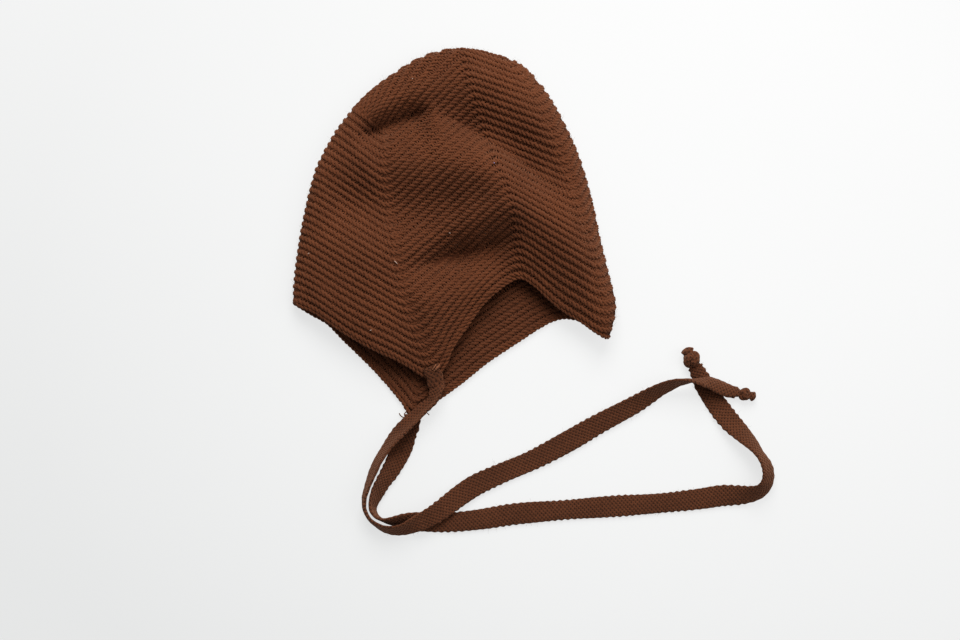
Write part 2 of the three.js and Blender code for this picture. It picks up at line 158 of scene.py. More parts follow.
def nearest_on_line(points, line):
    """For each point the nearest step of a line, the share of it, the way from it, the gap and the side."""
    step = np.diff(line, axis=0)
    offset = points[:, None, :] - line[:-1]
    share = np.clip((offset * step).sum(-1) / (step ** 2).sum(-1), 0, 1)
    away = offset - share[..., None] * step
    gap = np.linalg.norm(away, axis=-1)
    nearest = gap.argmin(1)
    pick = (np.arange(len(points)), nearest)
    away = away[pick]
    side = step[nearest, 0] * away[:, 1] - step[nearest, 1] * away[:, 0]
    return nearest, share[pick], away, gap[pick], side


# %% Turn arrays of points and faces into a piece
def make_piece(name, points_mm, faces, material, attributes=None):
    """A smooth mesh in metres from points in millimetres and faces of three or four corners."""
    mesh = bpy.data.meshes.new(name)
    faces = np.asarray(faces, np.int32)
    corners = faces.shape[1]
    mesh.vertices.add(len(points_mm))
    mesh.vertices.foreach_set("co", (np.asarray(points_mm) * MM).astype(np.float32).ravel())
    mesh.loops.add(faces.size)
    mesh.loops.foreach_set("vertex_index", faces.ravel())
    mesh.polygons.add(len(faces))
    mesh.polygons.foreach_set("loop_start", np.arange(0, faces.size, corners, dtype=np.int32))
    mesh.polygons.foreach_set("use_smooth", np.ones(len(faces), bool))
    mesh.update(calc_edges=True)
    mesh.validate()
    for label, values in (attributes or {}).items():
        layer = mesh.attributes.new(label, "FLOAT", "POINT")
        layer.data.foreach_set("value", np.asarray(values, np.float32))
    mesh.materials.append(material)
    piece = add_object(name, mesh)
    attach(piece, "root")
    triangles = len(faces) * (corners - 2)
    print(name, "has", triangles, "triangles")
    return piece


def grid_faces(rows, columns, closed=False):
    """Four-cornered faces of a grid; closed joins the last column to the first."""
    row = np.arange(rows - 1)[:, None]
    column = np.arange(columns if closed else columns - 1)[None, :]
    after = (column + 1) % columns
    quads = [row * columns + column, row * columns + after,
             (row + 1) * columns + after, (row + 1) * columns + column]
    return np.stack([np.broadcast_to(q, (rows - 1, column.shape[1])) for q in quads], -1).reshape(-1, 4)


def halved(faces):
    """Two triangles for each four-cornered face."""
    return np.vstack([faces[:, [0, 1, 2]], faces[:, [0, 2, 3]]])


def circle(corners):
    return np.linspace(0, 2 * np.pi, corners, endpoint=False)


def rings_round(centres, across, up, wide, high):
    """Rings of points round a line, each point so far along the two directions of its ring."""
    return centres[:, None, :] + across[:, None, :] * wide[..., None] + up[:, None, :] * high[..., None]


def closed_tube(rings):
    """Points and triangles of a tube with its two ends closed."""
    rows, columns = rings.shape[:2]
    faces = grid_faces(rows, columns, closed=True)
    ring = np.arange(columns)
    after = (ring + 1) % columns
    last = (rows - 1) * columns
    points = np.vstack([rings.reshape(-1, 3), rings[0].mean(0), rings[-1].mean(0)])
    first_middle = np.full(columns, len(points) - 2)
    caps = np.vstack([np.column_stack([first_middle, after, ring]),
                      np.column_stack([first_middle + 1, ring + last, after + last])])
    return points, np.vstack([halved(faces), caps])


def join_tubes(tubes):
    """One list of points and one of triangles from several."""
    points, triangles, start = [], [], 0
    for tube_points, tube_triangles in tubes:
        points.append(tube_points)
        triangles.append(tube_triangles + start)
        start += len(tube_points)
    return np.vstack(points), np.vstack(triangles)


# %% [markdown]
# ## The finish of the yarn
# The yarn is a matt, slightly hairy cotton. Its brown isn't even: the dye varies a little from stitch to
# stitch and over the whole cap, and the tops of the stitches are paler, where the fibres stand up and
# catch the light. Fine noise in the bump stands for the twist and the fibres, which are too small to be
# made as mesh.

# %% Node groups that the yarn finishes share
def new_group(name, inputs, outputs):
    """An empty node group with named sockets, and its first and last nodes."""
    group = bpy.data.node_groups.new(name, "ShaderNodeTree")
    for label, kind, value in inputs:
        socket = group.interface.new_socket(label, in_out="INPUT", socket_type=kind)
        socket.default_value = value
    for label, kind in outputs:
        group.interface.new_socket(label, in_out="OUTPUT", socket_type=kind)
    start = group.nodes.new("NodeGroupInput")
    end = group.nodes.new("NodeGroupOutput")
    return group, start, end


def add_node(tree, kind, settings=None, inputs=None):
    """A node with its settings, and its inputs set to values or linked to other nodes' outputs."""
    node = tree.nodes.new(kind)
    for label, value in (settings or {}).items():
        setattr(node, label, value)
    for key, value in (inputs or {}).items():
        if isinstance(value, bpy.types.NodeSocket):
            tree.links.new(value, node.inputs[key])
        else:
            node.inputs[key].default_value = value
    return node


def noise(tree, place, scale, detail, **more):
    """Noise values from 0 to 1."""
    return add_node(tree, "ShaderNodeTexNoise", None,
                    {"Vector": place, "Scale": scale, "Detail": detail, **more}).outputs["Fac"]


def maths(tree, operation, *values):
    return add_node(tree, "ShaderNodeMath", {"operation": operation}, dict(enumerate(values))).outputs[0]


def spread(tree, value, low, high, **more):
    """A value between two limits, spread from 0 to 1."""
    return add_node(tree, "ShaderNodeMapRange", None,
                    {"Value": value, "From Min": low, "From Max": high, **more}).outputs["Result"]


def mixed(tree, share, first, second, **settings):
    """A colour between two others."""
    return add_node(tree, "ShaderNodeMix", {"data_type": "RGBA", **settings},
                    {0: share, 6: first, 7: second}).outputs[2]


def mixed_value(tree, share, first, second):
    return add_node(tree, "ShaderNodeMix", {"data_type": "FLOAT"}, {0: share, 2: first, 3: second}).outputs[0]


def make_heather_group():
    """Uneven dye: broad patches, stitch to stitch changes and fine pale and dark fibres."""
    group, start, end = new_group(
        "heather",
        [("Dark", "NodeSocketColor", (0.1, 0.04, 0.02, 1)), ("Pale", "NodeSocketColor", (0.2, 0.1, 0.05, 1)),
         ("Patch", "NodeSocketFloat", 0.5), ("Fibre", "NodeSocketFloat", 0.5)],
        [("Color", "NodeSocketColor"), ("Fibres", "NodeSocketFloat")])
    place = add_node(group, "ShaderNodeTexCoord").outputs["Object"]
    patches = noise(group, place, 38.0, 3.0)
    stitches = noise(group, place, 420.0, 2.0)
    fibres = noise(group, place, 2600.0, 4.0, Roughness=0.65)
    uneven = mixed_value(group, start.outputs["Patch"], stitches, patches)
    uneven = mixed_value(group, start.outputs["Fibre"], uneven, fibres)
    colour = mixed(group, spread(group, uneven, 0.3, 0.7), start.outputs["Dark"], start.outputs["Pale"])
    group.links.new(colour, end.inputs["Color"])
    group.links.new(fibres, end.inputs["Fibres"])
    return group


HEATHER = make_heather_group()
print("group", HEATHER.name)


# %% Make the yarn finishes from the shared group
def make_yarn_material(name, dark, pale, patch=0.45, fibre=0.35, roughness=0.95, sheen=0.2, bump=0.25):
    """Matt cotton: heathered colour, a soft sheen of loose fibres and a fine fibre bump."""
    material = bpy.data.materials.new(name)
    material.use_nodes = True
    tree = material.node_tree
    shader = tree.nodes["Principled BSDF"]
    heather = add_node(tree, "ShaderNodeGroup", {"node_tree": HEATHER},
                       {"Dark": (*dark, 1), "Pale": (*pale, 1), "Patch": patch, "Fibre": fibre})
    relief = add_node(tree, "ShaderNodeBump", None,
                      {"Height": heather.outputs["Fibres"], "Strength": bump, "Distance": 0.0003})
    tree.links.new(heather.outputs["Color"], shader.inputs["Base Color"])
    tree.links.new(relief.outputs["Normal"], shader.inputs["Normal"])
    shader.inputs["Roughness"].default_value = roughness
    shader.inputs["Specular IOR Level"].default_value = 0.25
    shader.inputs["Sheen Weight"].default_value = sheen
    shader.inputs["Sheen Roughness"].default_value = 0.6
    shader.inputs["Sheen Tint"].default_value = (0.8, 0.42, 0.26, 1)
    material.diffuse_color = (*[(d + p) / 2 for d, p in zip(dark, pale)], 1)
    return material


def add_fine_knit(material):
    """Small holes in staggered lines, from the place along and across a band: a dip in the bump, and painted
    shade that dims the colour in them.
    """
    tree = material.node_tree
    shader = tree.nodes["Principled BSDF"]
    colour = shader.inputs["Base Color"].links[0].from_socket
    relief = shader.inputs["Normal"].links[0].from_node
    fibres = relief.inputs["Height"].links[0].from_socket
    place = add_node(tree, "ShaderNodeTexCoord").outputs["Object"]
    stray = noise(tree, place, 330.0, 2.0)
    waves = []
    for label, pitch, offset in [("along_mm", HOLE_ALONG, 2.2), ("across_mm", HOLE_ACROSS, 1.4)]:
        mark = add_node(tree, "ShaderNodeAttribute", {"attribute_name": label}).outputs["Fac"]
        turn = maths(tree, "MULTIPLY", mark, 2 * math.pi / pitch)
        waves.append(maths(tree, "COSINE", maths(tree, "MULTIPLY_ADD", stray, offset, turn)))
    lattice = maths(tree, "MULTIPLY", *waves)
    # The colour in the holes is mixed towards a near-black brown: painted shade.
    hole_shade = maths(tree, "MULTIPLY", spread(tree, lattice, -0.2, -0.8), 0.92)
    tree.links.new(maths(tree, "MULTIPLY_ADD", lattice, 1.4, fibres), relief.inputs["Height"])
    tree.links.new(mixed(tree, hole_shade, colour, (0.016, 0.006, 0.003, 1)), shader.inputs["Base Color"])


HOLE_ALONG = 2.2  # millimetres from hole to hole along a band
HOLE_ACROSS = 2.5  # and over two lines of holes
RIDGE_YARN = make_yarn_material("ridge_yarn", (0.065, 0.0198, 0.0070), (0.118, 0.0392, 0.0147))
INNER_YARN = make_yarn_material("inner_yarn", (0.058, 0.0175, 0.0063), (0.104, 0.0345, 0.013))
# The base yarn's colour is a deeper brown than the ridge yarn's, as painted shade in the gaps between the
# stitches.
SHADED_BASE_YARN = make_yarn_material("shaded_base_yarn", (0.050, 0.0158, 0.0060), (0.085, 0.0275, 0.0108), sheen=0.0)
BAND_YARN = make_yarn_material("band_yarn", (0.053, 0.0175, 0.0070), (0.106, 0.0372, 0.0156), bump=0.6)
add_fine_knit(BAND_YARN)
STITCH_YARN = make_yarn_material("stitch_yarn", (0.13, 0.05, 0.025), (0.21, 0.09, 0.047))
LINT = make_yarn_material("lint", (0.36, 0.27, 0.22), (0.5, 0.4, 0.34), sheen=0.1)
BLUE_LINT = make_yarn_material("blue_lint", (0.26, 0.25, 0.42), (0.36, 0.35, 0.55), sheen=0.1)
print("finishes:", ", ".join(m.name for m in (RIDGE_YARN, INNER_YARN, SHADED_BASE_YARN, BAND_YARN,
                                                 STITCH_YARN, LINT, BLUE_LINT)))

# %% [markdown]
# ## The ties
# Each tie is a flat band, knitted finer than the cap, that starts at an ear flap, stands on its edge
# where it turns and lies flat elsewhere. It could be a curve with a flat bevel, but a curve can't lean
# and gather at each point of its way, so the band is lofted ring by ring along the same route as in the
# frame. Its edges are scalloped by the rows, and some places are narrower or leaned more than there.

# %% Routes of the ties
# Each row is x, y, lift of the lower edge over the table, lean in degrees and share of the width left.
TIE_WIDTH = 11.5
TIE_THICKNESS = 2.2
NEAR_TIE_ROUTE = [
    (-10.2, -84.0, 5.0, 5, 0.86), (-10.0, -88.9, 4.6, 24, 0.70), (-12.1, -94.8, 3.7, 40, 0.58),
    (-17.2, -99.6, 3.2, 42, 0.60), (-23.6, -105.4, 3.1, 42, 0.72), (-29.5, -110.9, 3.0, 46, 0.86),
    (-34.8, -116.9, 1.6, 58, 1), (-39.0, -122.8, 0.3, 65, 1), (-42.4, -128.1, 0, 68, 1),
    (-45.2, -134.2, 0, 70, 1), (-48.2, -142.1, 0, 78, 1), (-50.3, -149.4, 0, 82, 1),
    (-50.1, -155.8, 0, 84, 1), (-47.4, -160.8, 0, 82, 1), (-42.6, -164.5, 0, 77, 1),
    (-37.8, -166.5, 0.2, 69, 1), (-32.8, -166.9, 0.9, 62, 1), (-27.6, -165.9, 2.4, 52, 1),
    (-23.0, -163.9, 3.4, 38, 1), (-18.0, -161.7, 3.4, 25, 1), (-11.1, -158.0, 3.6, 14, 1),
    (-4.8, -153.6, 3.0, 5, 1), (3.9, -147.2, 0.9, 0, 1), (11.8, -142.1, 0, 0, 1),
    (25.8, -135.6, 0, 0, 1), (44.2, -127.8, 0, 0, 1), (64.6, -117.0, 0, 0, 1),
    (80.3, -107.9, 0, 5, 1), (100.1, -97.2, 0, 22, 1), (108.3, -92.2, 0, 36, 1),
    (115.0, -88.3, 0.3, 50, 1), (120.0, -86.1, 0.9, 58, 1), (125.1, -84.3, 2.6, 70, 0.92),
    (130.1, -83.6, 3.7, 82, 0.78), (137.4, -83.7, 3.9, 112, 0.86), (143.0, -84.6, 3.4, 134, 0.78),
    (148.0, -86.8, 1.8, 144, 0.78), (153.1, -88.9, 0.6, 150, 0.72), (157.3, -90.0, 0.2, 155, 0.6),
]
FAR_TIE_ROUTE = [
    (-23.6, -102.5, 0, 0, 0.8), (-23.9, -108.5, 0, 0, 0.74), (-26.0, -113.0, 0, 0, 0.82),
    (-28.9, -119.7, 0, -2, 0.98), (-31.6, -125.6, 0, -8, 1), (-34.1, -130.6, 0, -22, 1),
    (-36.9, -135.4, 0, -30, 1), (-39.8, -139.8, 0, -42, 1), (-42.4, -144.5, 0, -48, 1),
    (-44.3, -148.8, 0, -58, 1), (-45.5, -152.4, 0, -68, 1), (-45.6, -155.8, 0, -76, 1),
    (-43.9, -159.0, 0, -84, 1), (-40.3, -161.2, 0, -94, 1), (-35.4, -162.2, 0, -112, 1),
    (-29.8, -162.2, 0, -132, 1), (-23.9, -162.2, 0, -148, 1), (-17.2, -162.7, 0, -164, 1),
    (-8.2, -163.0, 0, -174, 1), (0.8, -162.7, 0, -178, 1), (14.2, -161.3, 0, -180, 1),
    (33.8, -158.3, 0, -180, 1), (59.0, -156.2, 0, -180, 1), (87.0, -154.1, 0, -180, 1),
    (115.0, -152.2, 0, -180, 1), (137.4, -149.8, 0, -180, 1), (149.7, -148.0, 0, -174, 1),
    (158.7, -147.7, 0.4, -160, 1), (165.4, -147.1, 1.2, -146, 1), (170.6, -145.2, 2.4, -136, 1),
    (173.9, -141.2, 3.4, -131, 1), (175.0, -135.9, 3.8, -128, 1), (173.9, -130.3, 3.2, -122, 1),
    (170.8, -125.0, 2.0, -113, 1), (167.1, -119.7, 0.8, -124, 1), (160.9, -113.2, 0.2, -144, 1),
    (154.2, -106.5, 0, -166, 1), (146.4, -96.5, 0, -180, 1), (139.6, -85.7, 0.2, -180, 1),
    (134.5, -75.8, 1.9, -180, 0.74),
]


# %% Rings along a tie
def tie_frame(route, step_mm):
    """Centre, directions, width and thickness of a tie at even steps along its length."""
    route = np.array(route, float)
    fine = np.linspace(0, len(route) - 1, 4000)
    track = centripetal(route[:, :2], fine)
    length = length_along(track)
    along_mm = np.linspace(0, length[-1], int(length[-1] / step_mm) + 1)
    place = np.interp(along_mm, length, fine)
    centre = centripetal(route[:, :2], place)
    lift, lean, gather = value_at(route[:, 2:], place).T
    lift = np.maximum(lift, 0)
    gather = np.minimum(gather, 1)
    lean = np.radians(lean)
    width = TIE_WIDTH * gather
    thickness = TIE_THICKNESS * (1.5 - 0.5 * gather)
    height = np.abs(width * np.sin(lean)) + np.abs(thickness * np.cos(lean))
    centre = np.column_stack([centre, lift + height / 2])
    ahead = unit(np.gradient(centre[:, :2], axis=0))
    side = np.column_stack([left_of(ahead), np.zeros(len(ahead))])
    across = side * np.cos(lean)[:, None] + UP * np.sin(lean)[:, None]
    face = -side * np.sin(lean)[:, None] + UP * np.cos(lean)[:, None]
    return along_mm, centre, across, face, width, thickness


near_length = tie_frame(NEAR_TIE_ROUTE, 0.5)[0][-1]
far_length = tie_frame(FAR_TIE_ROUTE, 0.5)[0][-1]
print("near tie", round(near_length), "mm, far tie", round(far_length), "mm")

# %% [markdown]
# A gathered band doesn't only get narrower. Its edges curl up and it turns into a shallow gutter, so
# the section is bent along an arc by as much as the band is gathered. The mesh has the scallops of the
# edges and a soft unevenness; the holes of the fine knit come from the finish, as a dip in the bump and as
# painted shade that dims the colour in them. The finish needs to know how far along and across the band
# it is, so each point carries both.

# %% Loft the knitted bands
SCALLOP = 3.7  # one row of the knit at the edge
SCALLOP_DEPTH = 0.2
BAND_STEP = 0.55
EDGE_ROUND = 0.16  # round part of each edge, as a share of half the width
BAND_FILL = 0.7872  # share of the frame's thickness that the band takes
LUMP_HEIGHT = 0.13
FLAT_CURL = 0.42  # how far the edges of a flat band stand above its middle
GATHERED_CURL = 2.6  # and what a fully gathered one adds


def loft_band(name, route, node):
    """A knitted band with scalloped edges that stands for a tie node."""
    along, centre, across, face, width, thickness = tie_frame(route, BAND_STEP)
    flat = np.linspace(-1, 1, 19)
    turn = np.radians(np.linspace(90, -90, 7))[1:-1]
    upper = [(a, 1.0, 1.0) for a in flat] + [(1 + EDGE_ROUND * np.cos(t), np.sin(t), 0.0) for t in turn]
    section = np.vstack([upper, np.array(upper) * (-1, -1, 1)])
    share = section[:, 0] / (1 + EDGE_ROUND)
    half = (width / 2)[:, None]
    drift = np.cumsum(random.normal(0, 0.05, len(along)))
    scallops = SCALLOP_DEPTH * np.cos(2 * np.pi * along / SCALLOP + drift * 2) * (1 + 0.6 * np.sin(along / 5.1))
    wave = (scallops + 0.25 * np.sin(along / 9.7 + drift))[:, None]
    edge = smooth_step(np.abs(share), 0.55, 1.0)[None, :]
    sideways = share[None, :] * half + np.sign(share)[None, :] * wave * edge
    lumps = np.sin(along[:, None] / 1.9 + sideways * 0.9) * np.sin(along[:, None] / 2.7 - sideways * 1.3)
    relief = LUMP_HEIGHT * lumps * section[:, 2][None, :]
    pillow = 1 - 0.25 * share ** 4
    outward = section[:, 1][None, :] * (thickness / 2)[:, None] * (BAND_FILL * pillow[None, :])
    outward = outward + np.sign(section[:, 1])[None, :] * relief
    curl = (FLAT_CURL + GATHERED_CURL * (1 - width / TIE_WIDTH))[:, None] * (share[None, :] ** 2 - 0.33)
    wobble = 0.12 * np.sin(along[:, None] / 7.3 + share * 2)
    points = rings_round(centre, across, face, sideways, outward + curl + wobble)
    points[..., 2] = np.maximum(points[..., 2], 0.05)
    marks = {"along_mm": np.append(np.repeat(along, points.shape[1]), [along[0], along[-1]]),
             "across_mm": np.append(sideways.ravel(), [0.0, 0.0])}
    points, triangles = closed_tube(points)
    band = make_piece(name, points, triangles[:, ::-1], BAND_YARN, marks)
    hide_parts(node)
    return band, centre


near_band, near_path = loft_band("near_band", NEAR_TIE_ROUTE, "near_tie")
far_band, far_path = loft_band("far_band", FAR_TIE_ROUTE, "far_tie")


# %% [markdown]
# ## Knots
# Each tie ends in an overhand knot that keeps it from fraying, with the end of the band behind it as a
# short stub. A lump with grooves would do from afar, but a real knot shows turns that cross, so the band
# is swept along a trefoil that lies round the line of the tie, tight enough to leave no hole.

# %% Sweep a yarn or band along points
def sweep(centres, sides_up, radius_side, radius_up, corners):
    """Ring points round a line; sides_up is the direction that each ring calls up."""
    along = unit(np.gradient(centres, axis=0))
    side = unit(np.cross(along, sides_up))
    up = np.cross(side, along)
    angle = circle(corners)
    wide, high = radius_side[:, None] * np.cos(angle), radius_up[:, None] * np.sin(angle)
    return rings_round(centres, side, up, wide, high)


# %% Parts of a knot
KNOT_CORNERS = 16
KNOT_RINGS = 150
END_RINGS = 18
KNOT_HEIGHT = 3.1  # middle of a knot over the table; this and the rest are in knot sizes
TREFOIL_CORE = 1.5
TREFOIL_SWING = 0.6
TREFOIL_REACH = 1.5
TREFOIL_WIDE = 1.22
TREFOIL_TALL = 0.84
KNOT_BAND = (1.6, 1.15)  # half the width and thickness of the band in the knot


def knot_turns(middle, ahead, side, size, turn):
    """The band of the knot itself: points, triangles and marks of a closed trefoil."""
    t = circle(KNOT_RINGS)
    out = TREFOIL_CORE + TREFOIL_SWING * np.cos(3 * t + turn)
    around = side * np.cos(2 * t)[:, None] * TREFOIL_WIDE + UP * np.sin(2 * t)[:, None] * TREFOIL_TALL
    forth = ahead * (TREFOIL_REACH * np.sin(3 * t + turn))[:, None]
    centres = middle + size * (around * out[:, None] + forth)
    along = unit(np.roll(centres, -1, 0) - np.roll(centres, 1, 0))
    face = unit(around + ahead * (0.8 * np.sin(3 * t + turn))[:, None])
    flat = unit(np.cross(along, face))
    face = np.cross(flat, along)
    angle = circle(KNOT_CORNERS)
    width = size * (KNOT_BAND[0] + 0.14 * np.cos(17 * t))[:, None]
    depth = (KNOT_BAND[1] * size * np.sin(angle))[None, :]
    rings = rings_round(centres, flat, face, width * np.cos(angle), depth)
    faces = grid_faces(len(t) + 1, KNOT_CORNERS, closed=True) % (len(t) * KNOT_CORNERS)
    return (rings.reshape(-1, 3), halved(faces), np.repeat(t * 5.2 * size, KNOT_CORNERS),
            np.tile(angle * 1.5, len(t)))


def rounded_end(line, across, face, half_width, half_depth):
    """A gathered piece of band along a line of ring centres, with lumps like those of the knit."""
    angle = circle(KNOT_CORNERS)
    share = np.linspace(0, 1, len(line))
    bumps = 1 + 0.08 * np.cos(14 * share)[:, None] * np.cos(3 * angle)[None, :]
    wide = half_width[:, None] * bumps * np.cos(angle)
    high = half_depth[:, None] * bumps * np.sin(angle)
    points, triangles = closed_tube(rings_round(line, across, face, wide, high))
    return (points, triangles, np.append(np.repeat(share * 7, KNOT_CORNERS), [0, 0]),
            np.append(np.tile(angle * 2, len(line)), [0, 0]))


# %% Tie the two overhand knots
def tie_knot(name, route, node, turn, reach, size, stub_reach, stub_size):
    """An overhand knot at the end of a tie: the neck that leads in, the turns and the stub."""
    _, track, across, face, width, thickness = tie_frame(route, 0.5)
    ahead = np.append(unit(track[-1, :2] - track[-4, :2]), 0.0)
    side = np.array([-ahead[1], ahead[0], 0.0])
    middle = np.array([*track[-1, :2], KNOT_HEIGHT * size]) + ahead * reach
    share = np.linspace(0, 1, END_RINGS)
    neck = track[-3] + share[:, None] * (middle - track[-3])
    neck_across = unit(across[-1] * (1 - share)[:, None] + side * np.sign(across[-1] @ side) * share[:, None])
    neck_face = unit(face[-1] * (1 - share)[:, None] + UP * np.sign(face[-1] @ UP) * share[:, None])
    closing = smooth_step(share, 0, 0.7)
    neck_part = rounded_end(neck, neck_across, neck_face, width[-1] / 2 * (1 - closing) + 1.7 * closing,
                            thickness[-1] / 2 + 0.5 * closing)
    stub = middle + share[:, None] * (ahead * stub_reach - UP * (middle[2] - stub_size * 0.85))
    ending = np.sqrt(np.clip(1 - np.clip(share * 2 - 1, 0, 1) ** 5, 0.05, 1)) * stub_size
    ending = ending * (0.7 + 0.3 * np.exp(-((share - 0.76) / 0.2) ** 2))
    stub_across, stub_up = (np.tile(way, (END_RINGS, 1)) for way in (side, UP))
    stub_part = rounded_end(stub, stub_across, stub_up, ending, ending * 0.85)
    parts = (knot_turns(middle, ahead, side, size, turn), neck_part, stub_part)
    points, triangles = join_tubes([part[:2] for part in parts])
    points[:, 2] = np.maximum(points[:, 2], 0.1)
    marks = {label: np.concatenate([part[column] for part in parts])
             for column, label in [(2, "along_mm"), (3, "across_mm")]}
    knot_piece = make_piece(name, points, triangles, BAND_YARN, marks)
    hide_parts(node)
    return knot_piece


near_knot = tie_knot("near_knot", NEAR_TIE_ROUTE, "near_tie_knot", 0.6, 4.9, 1.04, 6.6, 2.8)
far_knot = tie_knot("far_knot", FAR_TIE_ROUTE, "far_tie_knot", 2.4, 4.6, 1.42, 7.2, 3.7)

# %% [markdown]
# The ties are free cords.


# %% [markdown]
# ## The face of the knitted shell
# The bonnet is one cap, folded flat along its back and crown. Its form is a table of sections, each from
# the near rim over the fold to the far rim, and a list of soft dents and swellings. The sections are
# those of the frame. The dents are a little deeper than there and three sharp creases come on top of
# them, because light grazes the real folds and shows even a shallow one. Yarn can't be laid on a mesh by
# hand here, so the face is a function: it takes a place on the flat plan and gives the fabric above it.

# %% Sections over the shell
WIDTH = 180.4
LENGTH = 204.6
LOFT = 30.0
WALL = 2.8
FOLD_HALF_HEIGHT = 5.0
FOLD_REACH = 6.0
ROLL_RADIUS = 5.5
# near x and y, fold x and y, far x and y, rim, dome and lift: shares of WIDTH, LENGTH and LOFT.
SECTIONS = np.array([
    (0.001, 0.307, 0.001, 0.307, 0.001, 0.307, 0.33, 0.33, 0.04),
    (0.026, 0.295, 0.001, 0.337, 0.029, 0.290, 0.33, 0.34, 0.02),
    (0.063, 0.281, 0.007, 0.400, 0.066, 0.271, 0.34, 0.37, 0),
    (0.107, 0.255, 0.019, 0.476, 0.110, 0.248, 0.35, 0.43, 0),
    (0.160, 0.223, 0.042, 0.580, 0.160, 0.203, 0.36, 0.50, 0),
    (0.212, 0.196, 0.073, 0.676, 0.206, 0.164, 0.38, 0.58, 0),
    (0.268, 0.171, 0.119, 0.755, 0.256, 0.120, 0.40, 0.66, 0),
    (0.324, 0.149, 0.175, 0.824, 0.302, 0.074, 0.38, 0.72, 0),
    (0.371, 0.125, 0.240, 0.884, 0.340, 0.033, 0.33, 0.76, 0),
    (0.403, 0.106, 0.312, 0.931, 0.354, 0.011, 0.29, 0.79, 0),
    (0.437, 0.100, 0.389, 0.973, 0.364, 0.001, 0.27, 0.81, 0),
    (0.468, 0.130, 0.470, 0.996, 0.389, 0.011, 0.29, 0.83, 0),
    (0.495, 0.185, 0.551, 0.998, 0.448, 0.042, 0.36, 0.84, 0),
    (0.535, 0.238, 0.631, 0.981, 0.523, 0.090, 0.45, 0.85, 0),
    (0.588, 0.301, 0.706, 0.955, 0.607, 0.149, 0.55, 0.86, 0),
    (0.647, 0.348, 0.768, 0.900, 0.690, 0.197, 0.63, 0.87, 0),
    (0.698, 0.372, 0.818, 0.832, 0.768, 0.242, 0.67, 0.87, 0),
    (0.743, 0.352, 0.861, 0.757, 0.818, 0.262, 0.64, 0.86, 0),
    (0.790, 0.315, 0.895, 0.681, 0.861, 0.264, 0.60, 0.83, 0),
    (0.836, 0.281, 0.926, 0.583, 0.898, 0.255, 0.55, 0.78, 0),
    (0.883, 0.256, 0.953, 0.473, 0.930, 0.238, 0.50, 0.70, 0.02),
    (0.926, 0.229, 0.976, 0.389, 0.954, 0.224, 0.45, 0.58, 0.06),
    (0.957, 0.213, 0.999, 0.293, 0.970, 0.215, 0.40, 0.46, 0.12),
    (0.979, 0.209, 0.979, 0.209, 0.979, 0.209, 0.38, 0.38, 0.15),
])
# x1, y1, x2, y2, rise and reach of each dent, fold or swelling of the near layer.
FOLDS = [
    (0.237, 0.778, 0.436, 0.842, -0.08, 0.027),  # crown crease
    (0.262, 0.881, 0.346, 0.914, 0.12, 0.050),  # crown swell
    (0.501, 0.810, 0.678, 0.722, -0.05, 0.042),  # temple valley
    (0.678, 0.722, 0.827, 0.613, -0.05, 0.038),
    (0.615, 0.915, 0.775, 0.835, 0.20, 0.065),  # swell above it
    (0.315, 0.709, 0.604, 0.675, 0.13, 0.046),  # long crest
    (0.604, 0.662, 0.895, 0.449, 0.13, 0.044),
    (0.205, 0.570, 0.470, 0.532, -0.23, 0.056),  # back hollow
    (0.501, 0.517, 0.656, 0.567, 0.09, 0.034),  # side crest
    (0.380, 0.400, 0.510, 0.432, -0.09, 0.034),  # side valley
    (0.510, 0.432, 0.659, 0.476, -0.13, 0.038),
    (0.455, 0.312, 0.572, 0.353, 0.07, 0.045),  # ear flap swell
    (0.080, 0.285, 0.300, 0.175, 0.10, 0.060),  # lifted rim at the nape
    (0.588, 0.301, 0.698, 0.372, -0.09, 0.060),  # sag of the rim at the temple
    (0.698, 0.372, 0.836, 0.281, -0.09, 0.060),
]
# Points along the bottom of each crease, its depth, and its reach to the crown side and to the rim side,
# in millimetres. The frame has them as soft dents, because its faces can't turn so sharply.
CREASES = [
    ([(-57.0, 51.0), (-44.0, 56.0), (-28.5, 62.5), (-10.0, 69.0)], 12.0, 4.2, 21.0),  # crown crease
    ([(-20.0, 68.0), (0.2, 62.0), (32.5, 42.0), (66.0, 16.0)], 12.0, 21.0, 6.0),  # temple valley
    ([(-27.5, -24.0), (-5.4, -15.0), (11.4, -11.2), (36.2, -2.0)], 11.5, 6.8, 16.0),  # side valley
]


def plan_point(shares):
    return (np.asarray(shares, float) - 0.5) * (WIDTH, LENGTH)


def sections_at(place):
    """Near rim, fold and far rim points, and rim, dome and lift heights, in millimetres."""
    row = value_at(SECTIONS, np.asarray(place, float))
    near, fold, far = (plan_point(row[..., column:column + 2]) for column in (0, 2, 4))
    return near, fold, far, row[..., 6] * LOFT, row[..., 7] * LOFT, np.maximum(row[..., 8], 0) * LOFT


LAST_PLACE = len(SECTIONS) - 1
print("sections:", len(SECTIONS), "folds:", len(FOLDS))


# %% Distance to the folded outline
def make_outline():
    """The folded outline, carried straight on past both of its ends."""
    fold = sections_at(np.arange(LAST_PLACE * 4 + 1) / 4)[1]
    first = fold[0] + unit(fold[0] - fold[1]) * WIDTH
    last = fold[-1] + unit(fold[-1] - fold[-2]) * WIDTH
    return np.vstack([first, fold, last])


OUTLINE = make_outline()


def outline_distance(points):
    """Signed distance to the outline, positive inside it, and the nearest point on it."""
    _, _, away, gap, side = nearest_on_line(points, OUTLINE)
    return np.where(side < 0, gap, -gap), points - away


def in_parts(function, points, size=16000):
    """Runs a function over a long list of points, some thousand at a time."""
    return np.concatenate([function(points[at:at + size]) for at in range(0, len(points), size)])


def distance_inside(points):
    """Only the distance, for a long list of points."""
    return in_parts(lambda part: outline_distance(part)[0], points)


# %% Dents, folds and swellings
FOLD_SHARE = 1.3  # the yarn fills up the folds a little, so they start out deeper than in the frame


